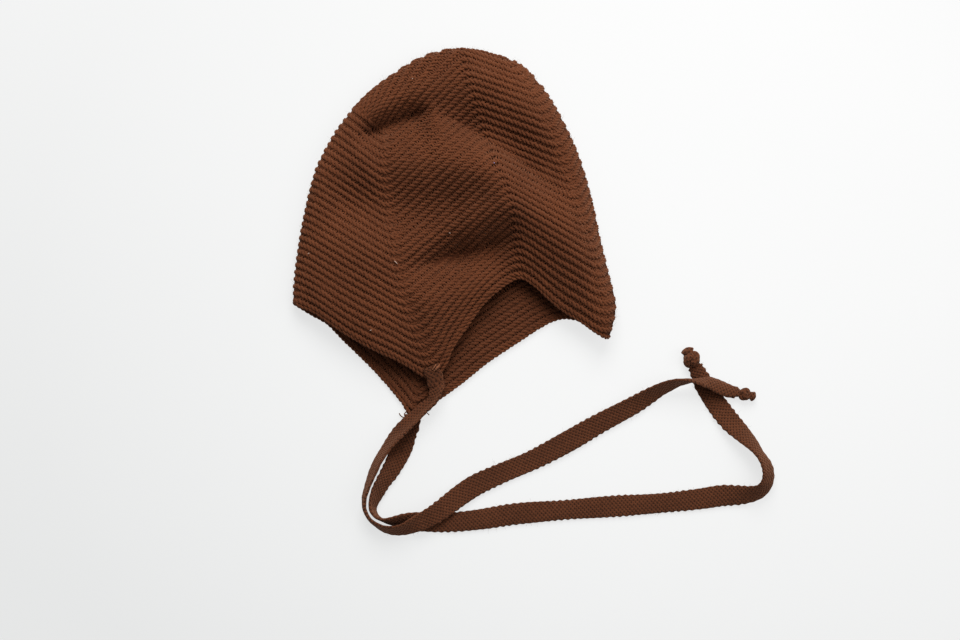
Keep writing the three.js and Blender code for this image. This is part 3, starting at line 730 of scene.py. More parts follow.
def fold_rise(points):
    """How far the folds lift or sink the near layer at plan points."""
    rise = np.zeros(len(points))
    for x1, y1, x2, y2, lift, reach in FOLDS:
        gap = nearest_on_line(points, plan_point([(x1, y1), (x2, y2)]))[3]
        rise += FOLD_SHARE * lift * LOFT * np.exp(-0.5 * (gap / (reach * LENGTH)) ** 2)
    return rise


# %% Sharp creases
CREASE_ROUND = 0.8  # how round the bottom of a crease is
CREASE_END = 0.3  # share of its length over which it fades out at each end


def crease_rise(points):
    """How far the creases sink the near layer; each is steep to its bottom and turns there."""
    rise = np.zeros(len(points))
    for line, depth, crown_reach, rim_reach in CREASES:
        line = np.array(line)
        nearest, share, _, gap, side = nearest_on_line(points, line)
        size = np.linalg.norm(np.diff(line, axis=0), axis=1)
        along = ((np.cumsum(size) - size)[nearest] + share * size[nearest]) / size.sum()
        taper = smooth_step(along, 0, CREASE_END) * smooth_step(1 - along, 0, CREASE_END)
        reach = np.where(side > 0, crown_reach, rim_reach)
        rounded = np.sqrt(gap ** 2 + CREASE_ROUND) - math.sqrt(CREASE_ROUND)
        rise -= depth * taper * np.exp(-rounded / reach)
    return rise


# %% Smooth part of the near layer's height, kept on a grid
GRID_STEP = 1.5
GRID_X = np.arange(-110, 111, GRID_STEP)
GRID_Y = np.arange(-120, 121, GRID_STEP)


def smooth_heights(points):
    """Height between the rim and the dome, and lift, at plan points."""
    places = np.linspace(0.02, LAST_PLACE - 0.02, 240)
    near, fold = sections_at(places)[:2]
    across = fold - near
    offset = points[:, None, :] - near
    side = across[:, 0] * offset[..., 1] - across[:, 1] * offset[..., 0]
    share = (offset * across).sum(-1) / (across ** 2).sum(-1)
    t = np.clip(side[:, :-1] / (side[:, :-1] - side[:, 1:] + 1e-12), 0, 1)
    crossing = share[:, :-1] * (1 - t) + share[:, 1:] * t
    miss = np.abs(crossing - np.clip(crossing, 0, 1))
    miss += np.where(side[:, :-1] * side[:, 1:] <= 0, 0, 1e3 + np.abs(side[:, :-1]))
    best = miss.argmin(1)
    row = np.arange(len(points))
    s = np.clip(crossing[row, best], 0, 1)
    place = places[best] + t[row, best] * (places[1] - places[0])
    rim, dome, lift = sections_at(place)[3:]
    plain = rim * (1 - s) * (1 - 2 * s) + dome * 4 * s * (1 - s) + 2 * FOLD_HALF_HEIGHT * s * (2 * s - 1)
    return np.column_stack([plain, lift])


grid_points = np.stack(np.meshgrid(GRID_X, GRID_Y, indexing="ij"), -1).reshape(-1, 2)
grid_heights = in_parts(smooth_heights, grid_points, 2000).reshape(len(GRID_X), len(GRID_Y), 2)
print("grid of", len(grid_points), "heights, highest", round(float(grid_heights[..., 0].max()), 1), "mm")


# %% The outer face as a function of the flat plan
def sample_grid(points):
    """Heights between the nodes of the grid."""
    place = (points - (GRID_X[0], GRID_Y[0])) / GRID_STEP
    place = np.clip(place, 0, np.array(grid_heights.shape[:2]) - 1.001)
    node = place.astype(int)
    t = place - node
    x, y = node[:, 0], node[:, 1]
    low = grid_heights[x, y] * (1 - t[:, :1]) + grid_heights[x + 1, y] * t[:, :1]
    high = grid_heights[x, y + 1] * (1 - t[:, :1]) + grid_heights[x + 1, y + 1] * t[:, :1]
    return low * (1 - t[:, 1:]) + high * t[:, 1:]


def fabric_point(points):
    """Outer face of the fabric; plan points past the outline roll under the fold."""
    distance, foot = outline_distance(points)
    inside = distance >= 0
    held = np.where(inside[:, None], points, foot)
    plain, lift = sample_grid(held).T
    rest = 1 - np.clip(distance / FOLD_REACH, 0, 1)
    roll = np.sqrt(1 - rest ** 2)
    rise = (fold_rise(held) + crease_rise(held)) * smooth_step(distance, 0, 3 * FOLD_REACH)
    height = FOLD_HALF_HEIGHT + (plain - FOLD_HALF_HEIGHT) * roll + rise
    turn = np.clip(-distance / ROLL_RADIUS, 0, np.pi / 2)
    under = foot + unit(foot - points) * (FOLD_REACH * (1 - np.cos(turn)))[:, None]
    plan = np.where(inside[:, None], points, under)
    return np.column_stack([plan, np.where(inside, height, FOLD_HALF_HEIGHT * (1 - np.sin(turn))) + lift])


def fabric_normal(points, reach=0.5):
    """Outward direction of the fabric at plan points."""
    x, y = np.array([reach, 0]), np.array([0, reach])
    right = in_parts(fabric_point, points + x) - in_parts(fabric_point, points - x)
    ahead = in_parts(fabric_point, points + y) - in_parts(fabric_point, points - y)
    return unit(np.cross(right, ahead))


# %% [markdown]
# ## The layer under the stitches, coloured with painted shade
# Between the stitches one looks into the fabric, not through it, because the yarns of the back of the
# knit close the holes. A thin shell just under the stitches stands for them. It follows the sections
# from the near rim over the fold to the far rim, and its colour is a deeper brown than the yarn's: painted
# shade of the gaps.

# %% Make the shell under the stitches
ROWS_PER_SECTION = 6
NEAR_STEPS = 60
FAR_STEPS = 26
BASE_DEPTH = 1.3


def shell_rows():
    """Outer points of the frame's shell on a fine grid of sections and steps."""
    places = np.linspace(0, LAST_PLACE, LAST_PLACE * ROWS_PER_SECTION + 1)
    near, fold, far, _, _, lift = sections_at(places)
    near_share = 1 - (1 - np.arange(NEAR_STEPS + 1) / NEAR_STEPS) ** 1.8
    far_share = 1 - (np.arange(1, FAR_STEPS + 1) / FAR_STEPS) ** 1.8
    near_plan, far_plan = (
        (start[:, None, :] * (1 - share)[:, None] + fold[:, None, :] * share[:, None]).reshape(-1, 2)
        for share, start in [(near_share, near), (far_share, far)])
    near_top = in_parts(fabric_point, near_plan)
    near_out = fabric_normal(near_plan, 1.0)
    measured = in_parts(lambda part: np.column_stack(outline_distance(part)), far_plan)
    distance, foot = measured[:, 0], measured[:, 1:]
    rest = 1 - np.clip(distance / FOLD_REACH, 0, 1)
    level = np.sqrt(1 - rest ** 2)
    far_under = np.column_stack([far_plan, FOLD_HALF_HEIGHT * (1 - level) + np.repeat(lift, FAR_STEPS)])
    outward = unit(foot - far_plan) * np.where(distance < 0, -1, 1)[:, None]
    far_out = np.column_stack([outward * rest[:, None], -level])
    shape = (len(places), -1, 3)
    points = np.concatenate([near_top.reshape(shape), far_under.reshape(shape)], 1)
    return points, np.concatenate([near_out.reshape(shape), far_out.reshape(shape)], 1)


outer, normals = shell_rows()
outer, normals = outer[1:-1], normals[1:-1]
rows, columns = outer.shape[:2]
near_part = (np.arange(columns) <= NEAR_STEPS)[None, :, None]
face_out = outer - normals * np.where(near_part, BASE_DEPTH, 0.3)
face_in = outer - normals * np.where(near_part, WALL - 0.15, 1.2)
face_out[..., 2] = np.maximum(face_out[..., 2], 0.2)
face_in[..., 2] = np.maximum(face_in[..., 2], 0.9)
quads = grid_faces(rows, columns)
count = rows * columns
down = np.arange(rows - 1) * columns
rims = []
for column in (0, columns - 1):
    edge = np.column_stack([down + column, down + columns + column,
                            down + columns + column + count, down + column + count])
    rims.append(edge if column else edge[:, ::-1])
over = np.arange(columns - 1)
for row in (0, rows - 1):
    edge = np.column_stack([over, over + 1, over + 1 + count, over + count]) + row * columns
    rims.append(edge[:, ::-1] if row else edge)
shell_faces = np.vstack([quads[:, ::-1], quads + count, *rims])
base_shell = make_piece("base_shell", np.vstack([face_out.reshape(-1, 3), face_in.reshape(-1, 3)]),
                        shell_faces, SHADED_BASE_YARN)
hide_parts("bonnet_body")

# %% [markdown]
# ## Where the knitted rows run
# The rows are parallel to the rim, so they go up and down with it. They turn at three lines: above the
# point of the ear flap, above the notch at the temple and along the middle of the forehead. On the real
# cap these are the places where stitches were added or taken away, and they are its main ornament. Each
# line is a short table of points, and its ridges are counted along it.

# %% Lines at which the rows turn
RIDGES = 30  # from the rim to the end of each line
EAR_LINE = [(-11.6, -76.6), (-14.6, -68.0), (-19.4, -57.5), (-22.5, -51.0), (-28.0, -37.1), (-30.4, -24.3),
            (-32.8, -7.1), (-36.2, 8.6), (-37.3, 17.0), (-38.2, 34.9), (-37.6, 48.3), (-37.3, 55.0)]
TEMPLE_LINE = [(35.8, -26.2), (34.4, -8.2), (33.2, 3.5), (31.6, 14.7), (29.3, 23.1), (25.4, 33.2),
               (21.5, 45.5), (16.4, 55.0), (12.5, 67.9), (10.3, 75.2), (6.4, 87.5), (4.7, 98.2)]
FRONT_LINE = [(87.0, -59.2), (85.3, -38.5), (81.4, -21.7), (76.9, -7.7), (73.0, 2.4), (69.1, 14.7),
              (66.3, 23.7), (62.4, 34.3), (56.8, 51.1), (51.7, 62.9), (46.7, 75.2), (40.0, 84.2)]
BACK_LINE = [(-90.0, -39.6), (-65.3, 55.0), (-56.4, 69.6)]
PAST_EAR_LINE = (-1.68, 1.26)  # step of a ridge past the end of the line
PAST_TEMPLE_LINE = (-4.62, 4.48)


def walk(points, step=None):
    """A function from a number of ridges to a place on a line of points."""
    points = np.asarray(points, float)
    length = length_along(points)
    past = np.asarray(step if step is not None else (points[-1] - points[-2]) * 0.5)

    def at(ridge):
        share = np.clip(ridge / RIDGES, 0, 1) * length[-1]
        return columns_at(share, length, points)[0] + past * max(ridge - RIDGES, 0)

    return at


def outline_between(start, end):
    """The part of the folded outline between the points nearest to two places."""
    low, high = (np.linalg.norm(OUTLINE - place, axis=1).argmin() for place in (start, end))
    return OUTLINE[low:high + 1]


back_part = outline_between(BACK_LINE[0], BACK_LINE[1])
back_top = outline_between(BACK_LINE[1], BACK_LINE[2])
back_at = walk(np.vstack([back_part, back_top[1:]]))
ear_at = walk(EAR_LINE, PAST_EAR_LINE)
temple_at = walk(TEMPLE_LINE, PAST_TEMPLE_LINE)
front_at = walk(FRONT_LINE)

# %% [markdown]
# Between two lines a row is nearly straight, but close to the rim it takes over the rim's own bends. So
# each row is the straight line between its turning points plus a share of the rim's bend, which fades
# out over some ridges. Past the forehead line and past the back a row goes on mirrored, as the knit does.

# %% Track of one row
RIM_PLACES = (0, 10, 16, LAST_PLACE)  # sections at the nape, the ear flap, the notch and the tip
TRACK_STEP = 0.5
TURN_REACH = 3.8  # how round the rows turn at the lines
SHARP_TURN_REACH = TURN_REACH / math.sqrt(3.4)  # and how round near the temple line
NEAR_TEMPLE = 12  # how far from that line the sharper turn fades out
BEND_RIDGES = 6  # over how many ridges the rim's bends fade out
FIRST_ROW = 0.55  # middle of the first ridge, counted in ridges from the rim
STITCH = 2.7
PAST_BACK = 10  # how far the rows are laid past the back of the outline
PAST_FRONT = 22  # and past the forehead line


def rim_bends():
    """How far the near rim departs from the straight line between the turning points, by share."""
    bends = []
    ends = [back_at(0), ear_at(0), temple_at(0), front_at(0)]
    shares = np.linspace(0, 1, 41)
    for part in range(3):
        rim = sections_at(np.linspace(RIM_PLACES[part], RIM_PLACES[part + 1], 200))[0]
        length = length_along(rim)
        chord = ends[part] + shares[:, None] * (ends[part + 1] - ends[part])
        bends.append(columns_at(shares * length[-1], length, rim) - chord)
    return bends


RIM_BENDS = rim_bends()


def mirrored(direction, line_direction):
    return direction - 2 * direction.dot(line_direction) * line_direction


def row_plan(ridge, part, share):
    """Plan points of a row; part 0 to 4 is back of the outline, back, side, front and past the front."""
    corners = [back_at(ridge), ear_at(ridge), temple_at(ridge), front_at(ridge)]
    back_way = unit(back_at(ridge + 0.5) - back_at(ridge - 0.5))
    front_way = unit(front_at(ridge + 0.5) - front_at(ridge - 0.5))
    before = corners[0] + mirrored(unit(corners[0] - corners[1]), back_way) * PAST_BACK
    after = corners[3] + mirrored(unit(corners[3] - corners[2]), front_way) * PAST_FRONT
    ends = [before, *corners, after]
    points = ends[part] + share[:, None] * (ends[part + 1] - ends[part])
    if 1 <= part <= 3:
        bend = RIM_BENDS[part - 1]
        extra = columns_at(share, np.linspace(0, 1, len(bend)), bend)
        points = points + extra * math.exp(-(ridge / BEND_RIDGES) ** 2)
    return points


def smoothed(columns, reach, half):
    """Columns of samples a TRACK_STEP apart, smoothed over a reach in millimetres."""
    window = np.exp(-0.5 * (np.arange(-half, half + 1) * TRACK_STEP / reach) ** 2)
    window = window / window.sum()
    return np.column_stack([np.convolve(np.pad(column, half, mode="edge"), window, "valid")
                            for column in columns.T])


def row_track(ridge):
    """Even steps along a row: plan points, room between neighbours, and where the turns are."""
    first = 0 if ridge <= RIDGES else 2
    tracks, rooms, turns = [], [], []
    share = np.linspace(0, 1, 161)[:-1]
    for part in range(first, 5):
        plan = row_plan(ridge, part, share)
        gap = row_plan(ridge + 0.5, part, share) - row_plan(ridge - 0.5, part, share)
        if part == first == 2 and math.dist(plan[0], plan[-1]) > 12:
            plan[0] -= unit(plan[2] - plan[1]) * 2.5  # starts a little under the last whole row
        rooms.append(gap)
        tracks.append(plan)
        turns.append(len(plan))
    track, gaps = np.vstack(tracks), np.vstack(rooms)
    length = length_along(track)
    even = np.arange(0, length[-1], TRACK_STEP)
    channels = columns_at(even, length, np.hstack([track, gaps]))
    round_turns = smoothed(channels, TURN_REACH, 20)
    sharp_turns = smoothed(channels, SHARP_TURN_REACH, 20)
    starts = length[np.minimum(np.cumsum([0] + turns[:-1]), len(length) - 1)]
    near_temple = np.exp(-((even - starts[3 - first]) / NEAR_TEMPLE) ** 2)
    smooth = round_turns + (sharp_turns - round_turns) * near_temple[:, None]
    track, gap = smooth[:, :2], smooth[:, 2:]
    ahead = unit(np.gradient(track, axis=0))
    room = np.abs(gap[:, 1] * ahead[:, 0] - gap[:, 0] * ahead[:, 1])
    return even, track, room, starts, first


even, track, room, starts, first = row_track(10.5)
print("row 10 is", round(float(even[-1])), "mm long, ridges", round(float(np.median(room)), 1), "mm apart")

# %% [markdown]
# ## The stitches
# A ridge of garter knit is two rows of loops that hook over each other. From outside it reads as a thick
# rope of two strands, and in the furrows between the ropes one sees the legs of the loops with small
# holes beside them. A displaced sheet could not cross over itself like this, so all of it is swept as
# yarn: two strands that wind round each other along every ridge, and one yarn that goes to and fro
# across the furrow, deeper in. The stitches of neighbouring rows stand above each other, which takes
# some counting where the rows change direction.

# %% Count the stitches along a row
def way_of(ridge, part):
    """Direction of a row in one of its parts."""
    ends = row_plan(ridge, part, np.array([0.2, 0.8]))
    return unit(ends[1] - ends[0])


ANCHORS = [back_at, ear_at, ear_at, temple_at, front_at]  # where each part of a row counts from


def count_shifts(rows):
    """Stitches by which each part of each row is ahead, so that the loops stand above each other."""
    shifts = {rows[0]: np.zeros(5)}
    for before, row in zip(rows[:-1], rows[1:]):
        shifts[row] = shifts[before].copy()
        for part in range(5):
            move = ANCHORS[part](row) - ANCHORS[part](before)
            shifts[row][part] += move.dot(way_of(row, part)) / STITCH
    return shifts


ROW_NUMBERS = [number + FIRST_ROW for number in range(46)]
ROW_SHIFTS = count_shifts(ROW_NUMBERS)


def stitch_count(row, length, starts, first):
    """Number of stitches at each step along a row; it grows evenly except near the turns."""
    anchors = [0, 1, 1, 2, 3]  # the turn that each part counts from
    turn_at = np.interp(starts, length[:, 0], length[:, 1])
    offsets = []
    for part in range(first, 5):
        start = turn_at[1 if part == 0 else max(anchors[part] + 1 - first, 0)]
        offsets.append(ROW_SHIFTS[row][part] - start / STITCH)
    count = length[:, 1] / STITCH + offsets[0]
    for turn, before, after in zip(turn_at[1:], offsets[:-1], offsets[1:]):
        jump = after - before
        jump -= round(jump)
        count = count + jump * smooth_step(length[:, 1], turn - 1.5 * STITCH, turn + 1.5 * STITCH)
    return count


# %% The yarns of a ridge
YARN_RADIUS = 0.83
STRAND_SWING = 0.185  # how far a strand swings to each side, in ridges
STRAND_LIFT = 0.36  # how far it rises and sinks where it crosses the other one
STRAND_SINK = 0.72  # middle of the ridge under the face
STRAND_SAMPLES = 6  # rings in a stitch
ROW_TURN = 0.35 * np.pi  # how much further round the strands start in each next row
LEG_RADIUS = 0.6
LEG_REACH = 0.36  # how far the legs reach to each side of the furrow, in ridges
LEG_SINK = 1.05
LEG_PHASES = np.array([0.12, 0.38, 0.62, 0.88])  # where in a stitch a leg starts or ends
LEG_SIDES = np.array([-1, 1, 1, -1])
KEEP_UNDER = 7.2  # how far round the fold the stitches go
ROOM_LIMITS = (2.6, 5.2)  # narrowest and widest ridge
SHORTEST_ROW = 3  # stitches


def soft_noise(places, spacing, size):
    """Smooth random values along a line, one new value in each spacing."""
    knots = np.arange(places.min() - 2 * spacing, places.max() + 2 * spacing, spacing)
    return np.interp(places, knots, random.normal(0, size, len(knots)))


def along_row(number, even, track, room, count):
    """Plan points, side directions and room between the rows at some numbers of stitches."""
    length = np.interp(number, count, even)
    ahead = unit(np.gradient(track, axis=0))
    side = left_of(columns_at(length, even, ahead))
    return columns_at(length, even, track), side, np.interp(length, even, room)


def wind_strand(line, turn):
    """One of the two strands of a ridge: plan points, depth under the face and radius."""
    count = line[3]
    number = np.arange(math.ceil(count[0] * STRAND_SAMPLES), math.floor(count[-1] * STRAND_SAMPLES) + 1)
    number = number / STRAND_SAMPLES
    plan, side, room = along_row(number, *line)
    angle = np.pi * number + turn + soft_noise(number, 2.1, 0.2)
    swing = STRAND_SWING * room * np.cos(angle) * (1 + soft_noise(number, 1.6, 0.14))
    depth = STRAND_SINK - STRAND_LIFT * np.sin(angle) + soft_noise(number, 1.3, 0.1)
    radius = YARN_RADIUS * (1 + soft_noise(number, 1.1, 0.06))
    return plan + side * swing[:, None], depth, radius


def lay_legs(line):
    """The yarn that goes to and fro across the furrow after a ridge, like wind_strand."""
    count = line[3]
    stitches = np.arange(math.ceil(count[0]), math.floor(count[-1]))
    number = (stitches[:, None] + LEG_PHASES).ravel()
    plan, side, room = along_row(number + random.normal(0, 0.03, len(number)), *line)
    reach = room * (0.5 + LEG_REACH * np.tile(LEG_SIDES, len(stitches)))
    depth = LEG_SINK + random.normal(0, 0.08, len(number))
    return plan + side * reach[:, None], depth, np.full(len(number), LEG_RADIUS)


# %% Turn the yarns of a row into tubes
def kept_runs(keep, shortest=8):
    """First and last index of each run of kept samples."""
    edges = np.flatnonzero(np.diff(np.concatenate([[0], keep.astype(int), [0]])))
    return [(low, high) for low, high in zip(edges[::2], edges[1::2]) if high - low >= shortest]


def row_tubes(line, index, surface_point, surface_normal, kept):
    """Tubes of the yarns of one ridge; kept says which plan points lie on the fabric."""
    turn = index * ROW_TURN
    yarns = [(wind_strand(line, turn), 6), (wind_strand(line, turn + np.pi), 6), (lay_legs(line), 5)]
    tubes = []
    for (plan, depth, radius), sides in yarns:
        out = surface_normal(plan)
        centres = surface_point(plan) - out * depth[:, None]
        centres[:, 2] = np.maximum(centres[:, 2], radius + 0.05)
        for low, high in kept_runs(kept(plan)):
            part = slice(low, high)
            tubes.append(closed_tube(sweep(centres[part], out[part], radius[part], radius[part] * 0.94, sides)))
    return tubes


# %% Knit the near layer
def surface_for(points):
    return in_parts(fabric_point, points)


def near_kept(points):
    return distance_inside(points) > -KEEP_UNDER


def knit_near_layer():
    """All yarns of the near layer, as lists of ring points and triangles."""
    tubes = []
    for index, row in enumerate(ROW_NUMBERS):
        even, track, room, starts, first = row_track(row)
        face = surface_for(track)
        walked = np.column_stack([even, length_along(face)])
        count = stitch_count(row, walked, starts, first)
        near = np.flatnonzero(distance_inside(track) > -KEEP_UNDER - 3)
        if len(near) < 12 or count[near[-1]] - count[near[0]] < SHORTEST_ROW:
            continue
        span = slice(near[0], near[-1] + 1)
        line = (even[span], track[span], np.clip(room[span], *ROOM_LIMITS), count[span])
        tubes += row_tubes(line, index, surface_for, fabric_normal, near_kept)
    return tubes


def make_yarn_pieces(name, tubes, material, most=185000):
    """Pieces of at most some number of triangles, each made of whole yarns."""
    made, group, size = 0, [], 0
    for tube in tubes + [None]:
        if tube is None or (group and size + len(tube[1]) > most):
            points, triangles = join_tubes(group)
            made += 1
            piece = make_piece(f"{name}_{made}", points, triangles, material)
            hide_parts("bonnet_body")
            group, size = [], 0
        if tube is not None:
            group.append(tube)
            size += len(tube[1])


near_tubes = knit_near_layer()
make_yarn_pieces("near_rows", near_tubes, RIDGE_YARN)
print("yarns in the near layer:", len(near_tubes))

# %% [markdown]
# ## Inside of the far layer
# Under the near rim a strip of the far layer looks out, with its inner face up. It lies flat on the
# table. Its rows run parallel to its own two edges and turn above the tip of its ear flap, so they are
# offsets of those edges, cut at the line where they meet.

# %% Knit the inner face of the far layer
FAR_TIP = np.array([-25.0, -100.6])
FAR_LINE_STEP = np.array([0.78, 4.37])
FAR_ROWS = 8
FAR_BACK_PITCH = 3.75
FAR_FRONT_PITCH = 3.4
FAR_ROOM = 3.6
FAR_FACE = 2.8
FAR_HIDDEN = 9  # how near the fold the far layer is out of sight


def far_lift(points):
    """Lift of the far layer, which only rises towards the forehead point."""
    return sample_grid(points)[:, 1]


def far_face(points):
    return np.column_stack([points, FAR_FACE + far_lift(points)])


def far_normal(points):
    return np.tile(UP, (len(points), 1))


def far_kept(points):
    return distance_inside(points) > FAR_HIDDEN


def offset_edge(first, last, reach):
    """A part of the far rim, moved into the fabric."""
    edge = sections_at(np.linspace(first, last, 160))[2]
    ahead = unit(np.gradient(edge, axis=0))
    return edge + left_of(ahead) * reach


def knit_far_face():
    tubes = []
    for row in range(FAR_ROWS):
        ridge = row + FIRST_ROW
        back = offset_edge(2.2, 9.5, ridge * FAR_BACK_PITCH)
        front = offset_edge(10.4, 22.4, ridge * FAR_FRONT_PITCH)
        middle = FAR_TIP + FAR_LINE_STEP * ridge
        back = back[(back - middle)[:, 0] < -1.0]
        front = front[(front - middle)[:, 0] > 1.0]
        corners = np.vstack([back, middle[None, :], front])
        length = length_along(corners)
        even = np.arange(0, length[-1], TRACK_STEP)
        track = smoothed(columns_at(even, length, corners), 1.6, 8)
        line = (even, track, np.full(len(even), FAR_ROOM), even / STITCH)
        tubes += row_tubes(line, row, far_face, far_normal, far_kept)
    return tubes


make_yarn_pieces("far_rows", knit_far_face(), INNER_YARN)

# %% [markdown]
# ## Rims
# The edge of the cap is cast off, which leaves a firm cord of two yarns that wind round each other. It
# is thicker than the fabric behind it and catches a line of light along the near rim.

# %% Wind two yarns along each rim
RIM_YARN = 0.78
RIM_TWIST = 0.62
RIM_PITCH = 5.2
RIM_SINK = 1.3  # middle of the near rim under the face
FAR_RIM_HEIGHT = 1.45


def wound_rim(name, centres, outward):
    """Two yarns wound round a rim line."""
    length = length_along(centres)
    even = np.arange(0, length[-1], 0.5)
    line = columns_at(even, length, centres)
    out = unit(columns_at(even, length, outward))
    ahead = unit(np.gradient(line, axis=0))
    up = unit(np.cross(ahead, out))
    tubes = []
    for strand in (0.0, np.pi):
        angle = 2 * np.pi * even / RIM_PITCH + strand + soft_noise(even, 6, 0.25)
        wave = out * np.cos(angle)[:, None] + up * np.sin(angle)[:, None]
        around = line + wave * RIM_TWIST
        around[:, 2] = np.maximum(around[:, 2], RIM_YARN + 0.02)
        radius = RIM_YARN * (1 + soft_noise(even, 1.4, 0.07))
        tubes.append(closed_tube(sweep(around, wave, radius, radius, 7)))
    points, triangles = join_tubes(tubes)
    piece = make_piece(name, points, triangles, RIDGE_YARN)
    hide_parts("bonnet_body")


rim_places = np.linspace(0.05, LAST_PLACE - 0.05, 420)
near_rim, fold_line, far_rim, _, _, rim_lift = sections_at(rim_places)
near_top = surface_for(near_rim)
near_out = fabric_normal(near_rim + unit(fold_line - near_rim))
near_middle = near_top - near_out * RIM_SINK
wound_rim("near_rim", near_middle, near_out)
far_middle = np.column_stack([far_rim, FAR_RIM_HEIGHT + rim_lift])
wound_rim("far_rim", far_middle, np.tile(UP, (len(far_middle), 1)))

# %% [markdown]
# ## Loose ends, fuzz and lint
# Two cut yarn ends hang out beside the tip of the far flap, the near tie is sewn on with a few pale
# stitches, and there are some specks of lint. Cotton yarn is also hairy. The hairs are too thin to see
# one by one, but together they soften the outline, so some fifteen hundred stand on the fabric.

# %% Loose ends and sewing stitches
def loose_yarn(name, points, radius, material, corners=7):
    """A short piece of yarn along a smooth line through a few points."""
    points = np.array(points, float)
    place = np.linspace(0, len(points) - 1, 14 * len(points))
    centres = value_at(points, place)
    wave = radius * (1 + 0.12 * np.sin(place * 9))
    ends = np.clip(np.minimum(place, len(points) - 1 - place) * 6, 0.35, 1)
    rings = sweep(centres, np.tile(UP, (len(centres), 1)), wave * ends, wave * ends, corners)
    tube_points, triangles = closed_tube(rings)
    return make_piece(name, tube_points, triangles, material)


loose_yarn("yarn_end_1", [(-31.0, -101.9, 1.4), (-30.4, -103.0, 0.9), (-29.4, -103.9, 0.6),
                          (-27.9, -104.2, 0.6), (-26.6, -103.2, 0.8)], 0.3, RIDGE_YARN)
loose_yarn("yarn_end_2", [(-28.3, -102.3, 1.2), (-27.3, -101.2, 1.8), (-26.4, -100.0, 2.4)], 0.26, RIDGE_YARN)
loose_yarn("yarn_end_3", [(-16.2, -101.0, 3.0), (-15.0, -102.0, 2.4), (-14.2, -102.9, 1.6)], 0.26, RIDGE_YARN)

# %% Root of the near tie
# The tie is sewn on top of the tip of the flap, so its end lies over the fabric there.
ROOT_RINGS = 20
root_plan = np.array([(-13.6, -75.6), (-12.4, -78.4), (-11.2, -81.4)])
root_top = fabric_point(root_plan)[:, 2] + np.array([0.2, 0.5, 0.3])
tie_start = near_path[4:6]
root_points = np.vstack([np.column_stack([root_plan, root_top]), tie_start])
root_line = value_at(root_points, np.linspace(0, len(root_points) - 1, ROOT_RINGS))
root_ahead = np.gradient(root_line, axis=0)
root_across = unit(np.cross(UP, root_ahead))
root_face = unit(np.cross(root_ahead, root_across))
root_points, root_faces, root_along, root_side = rounded_end(
    root_line, root_across, root_face, np.linspace(4.4, 4.9, ROOT_RINGS), np.ones(ROOT_RINGS))
make_piece("near_root", root_points, root_faces, BAND_YARN,
           {"along_mm": root_along * 1.5, "across_mm": root_side * 2})
for index, (x, y) in enumerate([(-10.2, -76.6), (-9.3, -76.0), (-11.2, -75.8)]):
    height = max(float(np.interp(-y, -root_line[:, 1], root_line[:, 2])) + 1.0,
                 float(fabric_point(np.array([[x, y]]))[0, 2]) + 0.3)
    loose_yarn(f"sewing_{index + 1}", [(x - 1.1, y - 1.6, height - 0.5), (x, y, height + 0.5),
                                       (x + 1.1, y + 1.5, height - 0.4)], 0.42, STITCH_YARN)


# %% Hairs of the yarn
HAIRS = 700
OUTLINE_HAIRS = 420
BAND_HAIR_STEP = 1.5
HAIR_RADIUS = 0.04
HAIR_RINGS = 5


def make_hairs(name, roots, ways, material):
    """Thin bent hairs of three sides that start in the fabric."""
    count = len(roots)
    length = random.uniform(0.8, 2.4, count)
    bend = random.normal(0, 0.5, (count, 3))
    place = np.linspace(0, 1, HAIR_RINGS)
    lines = (roots[:, None, :] + ways[:, None, :] * (length[:, None] * place)[..., None]
             + bend[:, None, :] * (place ** 2)[None, :, None] * length[:, None, None] * 0.6)
    lines[..., 2] = np.maximum(lines[..., 2], 0.1)
    angle = circle(3)
    across = unit(np.cross(ways, [0.3, 0.2, 1.0]))
    second = np.cross(ways, across)
    radius = HAIR_RADIUS * (1 - 0.6 * place)
    ring = across[:, None, :] * np.cos(angle)[None, :, None] + second[:, None, :] * np.sin(angle)[None, :, None]
    points = lines[:, :, None, :] + ring[:, None, :, :] * radius[None, :, None, None]
    faces = grid_faces(HAIR_RINGS, 3, closed=True)
    faces = (faces[None, :, :] + (np.arange(count) * 3 * HAIR_RINGS)[:, None, None]).reshape(-1, 4)
    return make_piece(name, points.reshape(-1, 3), faces, material)


def hair_roots(tubes, count):
    """Random ring centres of yarns, each with a random direction that leans upwards."""
    points = np.vstack([tube[0][:-2] for tube in tubes])
    pick = random.integers(0, len(points) - 6, count)
    roots = points[pick]
    ways = unit(random.normal(0, 1, (count, 3)) + (0, 0, 0.6))
    return roots, ways


roots, ways = hair_roots(near_tubes, HAIRS)
make_hairs("cap_hairs", roots, ways, RIDGE_YARN)

# %% Hairs along the folded outline and the ties
edge_pick = random.uniform(0, LAST_PLACE, OUTLINE_HAIRS)
edge = sections_at(edge_pick)
edge_out = unit(edge[1] - edge[0])
edge_roots = np.column_stack([edge[1] - edge_out * 0.6, random.uniform(2.5, 7.5, len(edge_pick)) + edge[5]])
edge_ways = unit(np.column_stack([edge_out, random.normal(0, 0.5, len(edge_pick))])
                 + random.normal(0, 0.45, (len(edge_pick), 3)))
make_hairs("outline_hairs", edge_roots, edge_ways, RIDGE_YARN)
for band, route in [(near_band, NEAR_TIE_ROUTE), (far_band, FAR_TIE_ROUTE)]:
    _, centre, across, face, width, _ = tie_frame(route, BAND_HAIR_STEP)
    sign = random.choice([-1.0, 1.0], len(centre))
    band_roots = centre + across * (sign * width / 2 * random.uniform(0.8, 1.0, len(centre)))[:, None]
    band_ways = unit(across * sign[:, None] + random.normal(0, 0.6, centre.shape))
    make_hairs(band.name + "_hairs", band_roots, band_ways, BAND_YARN)

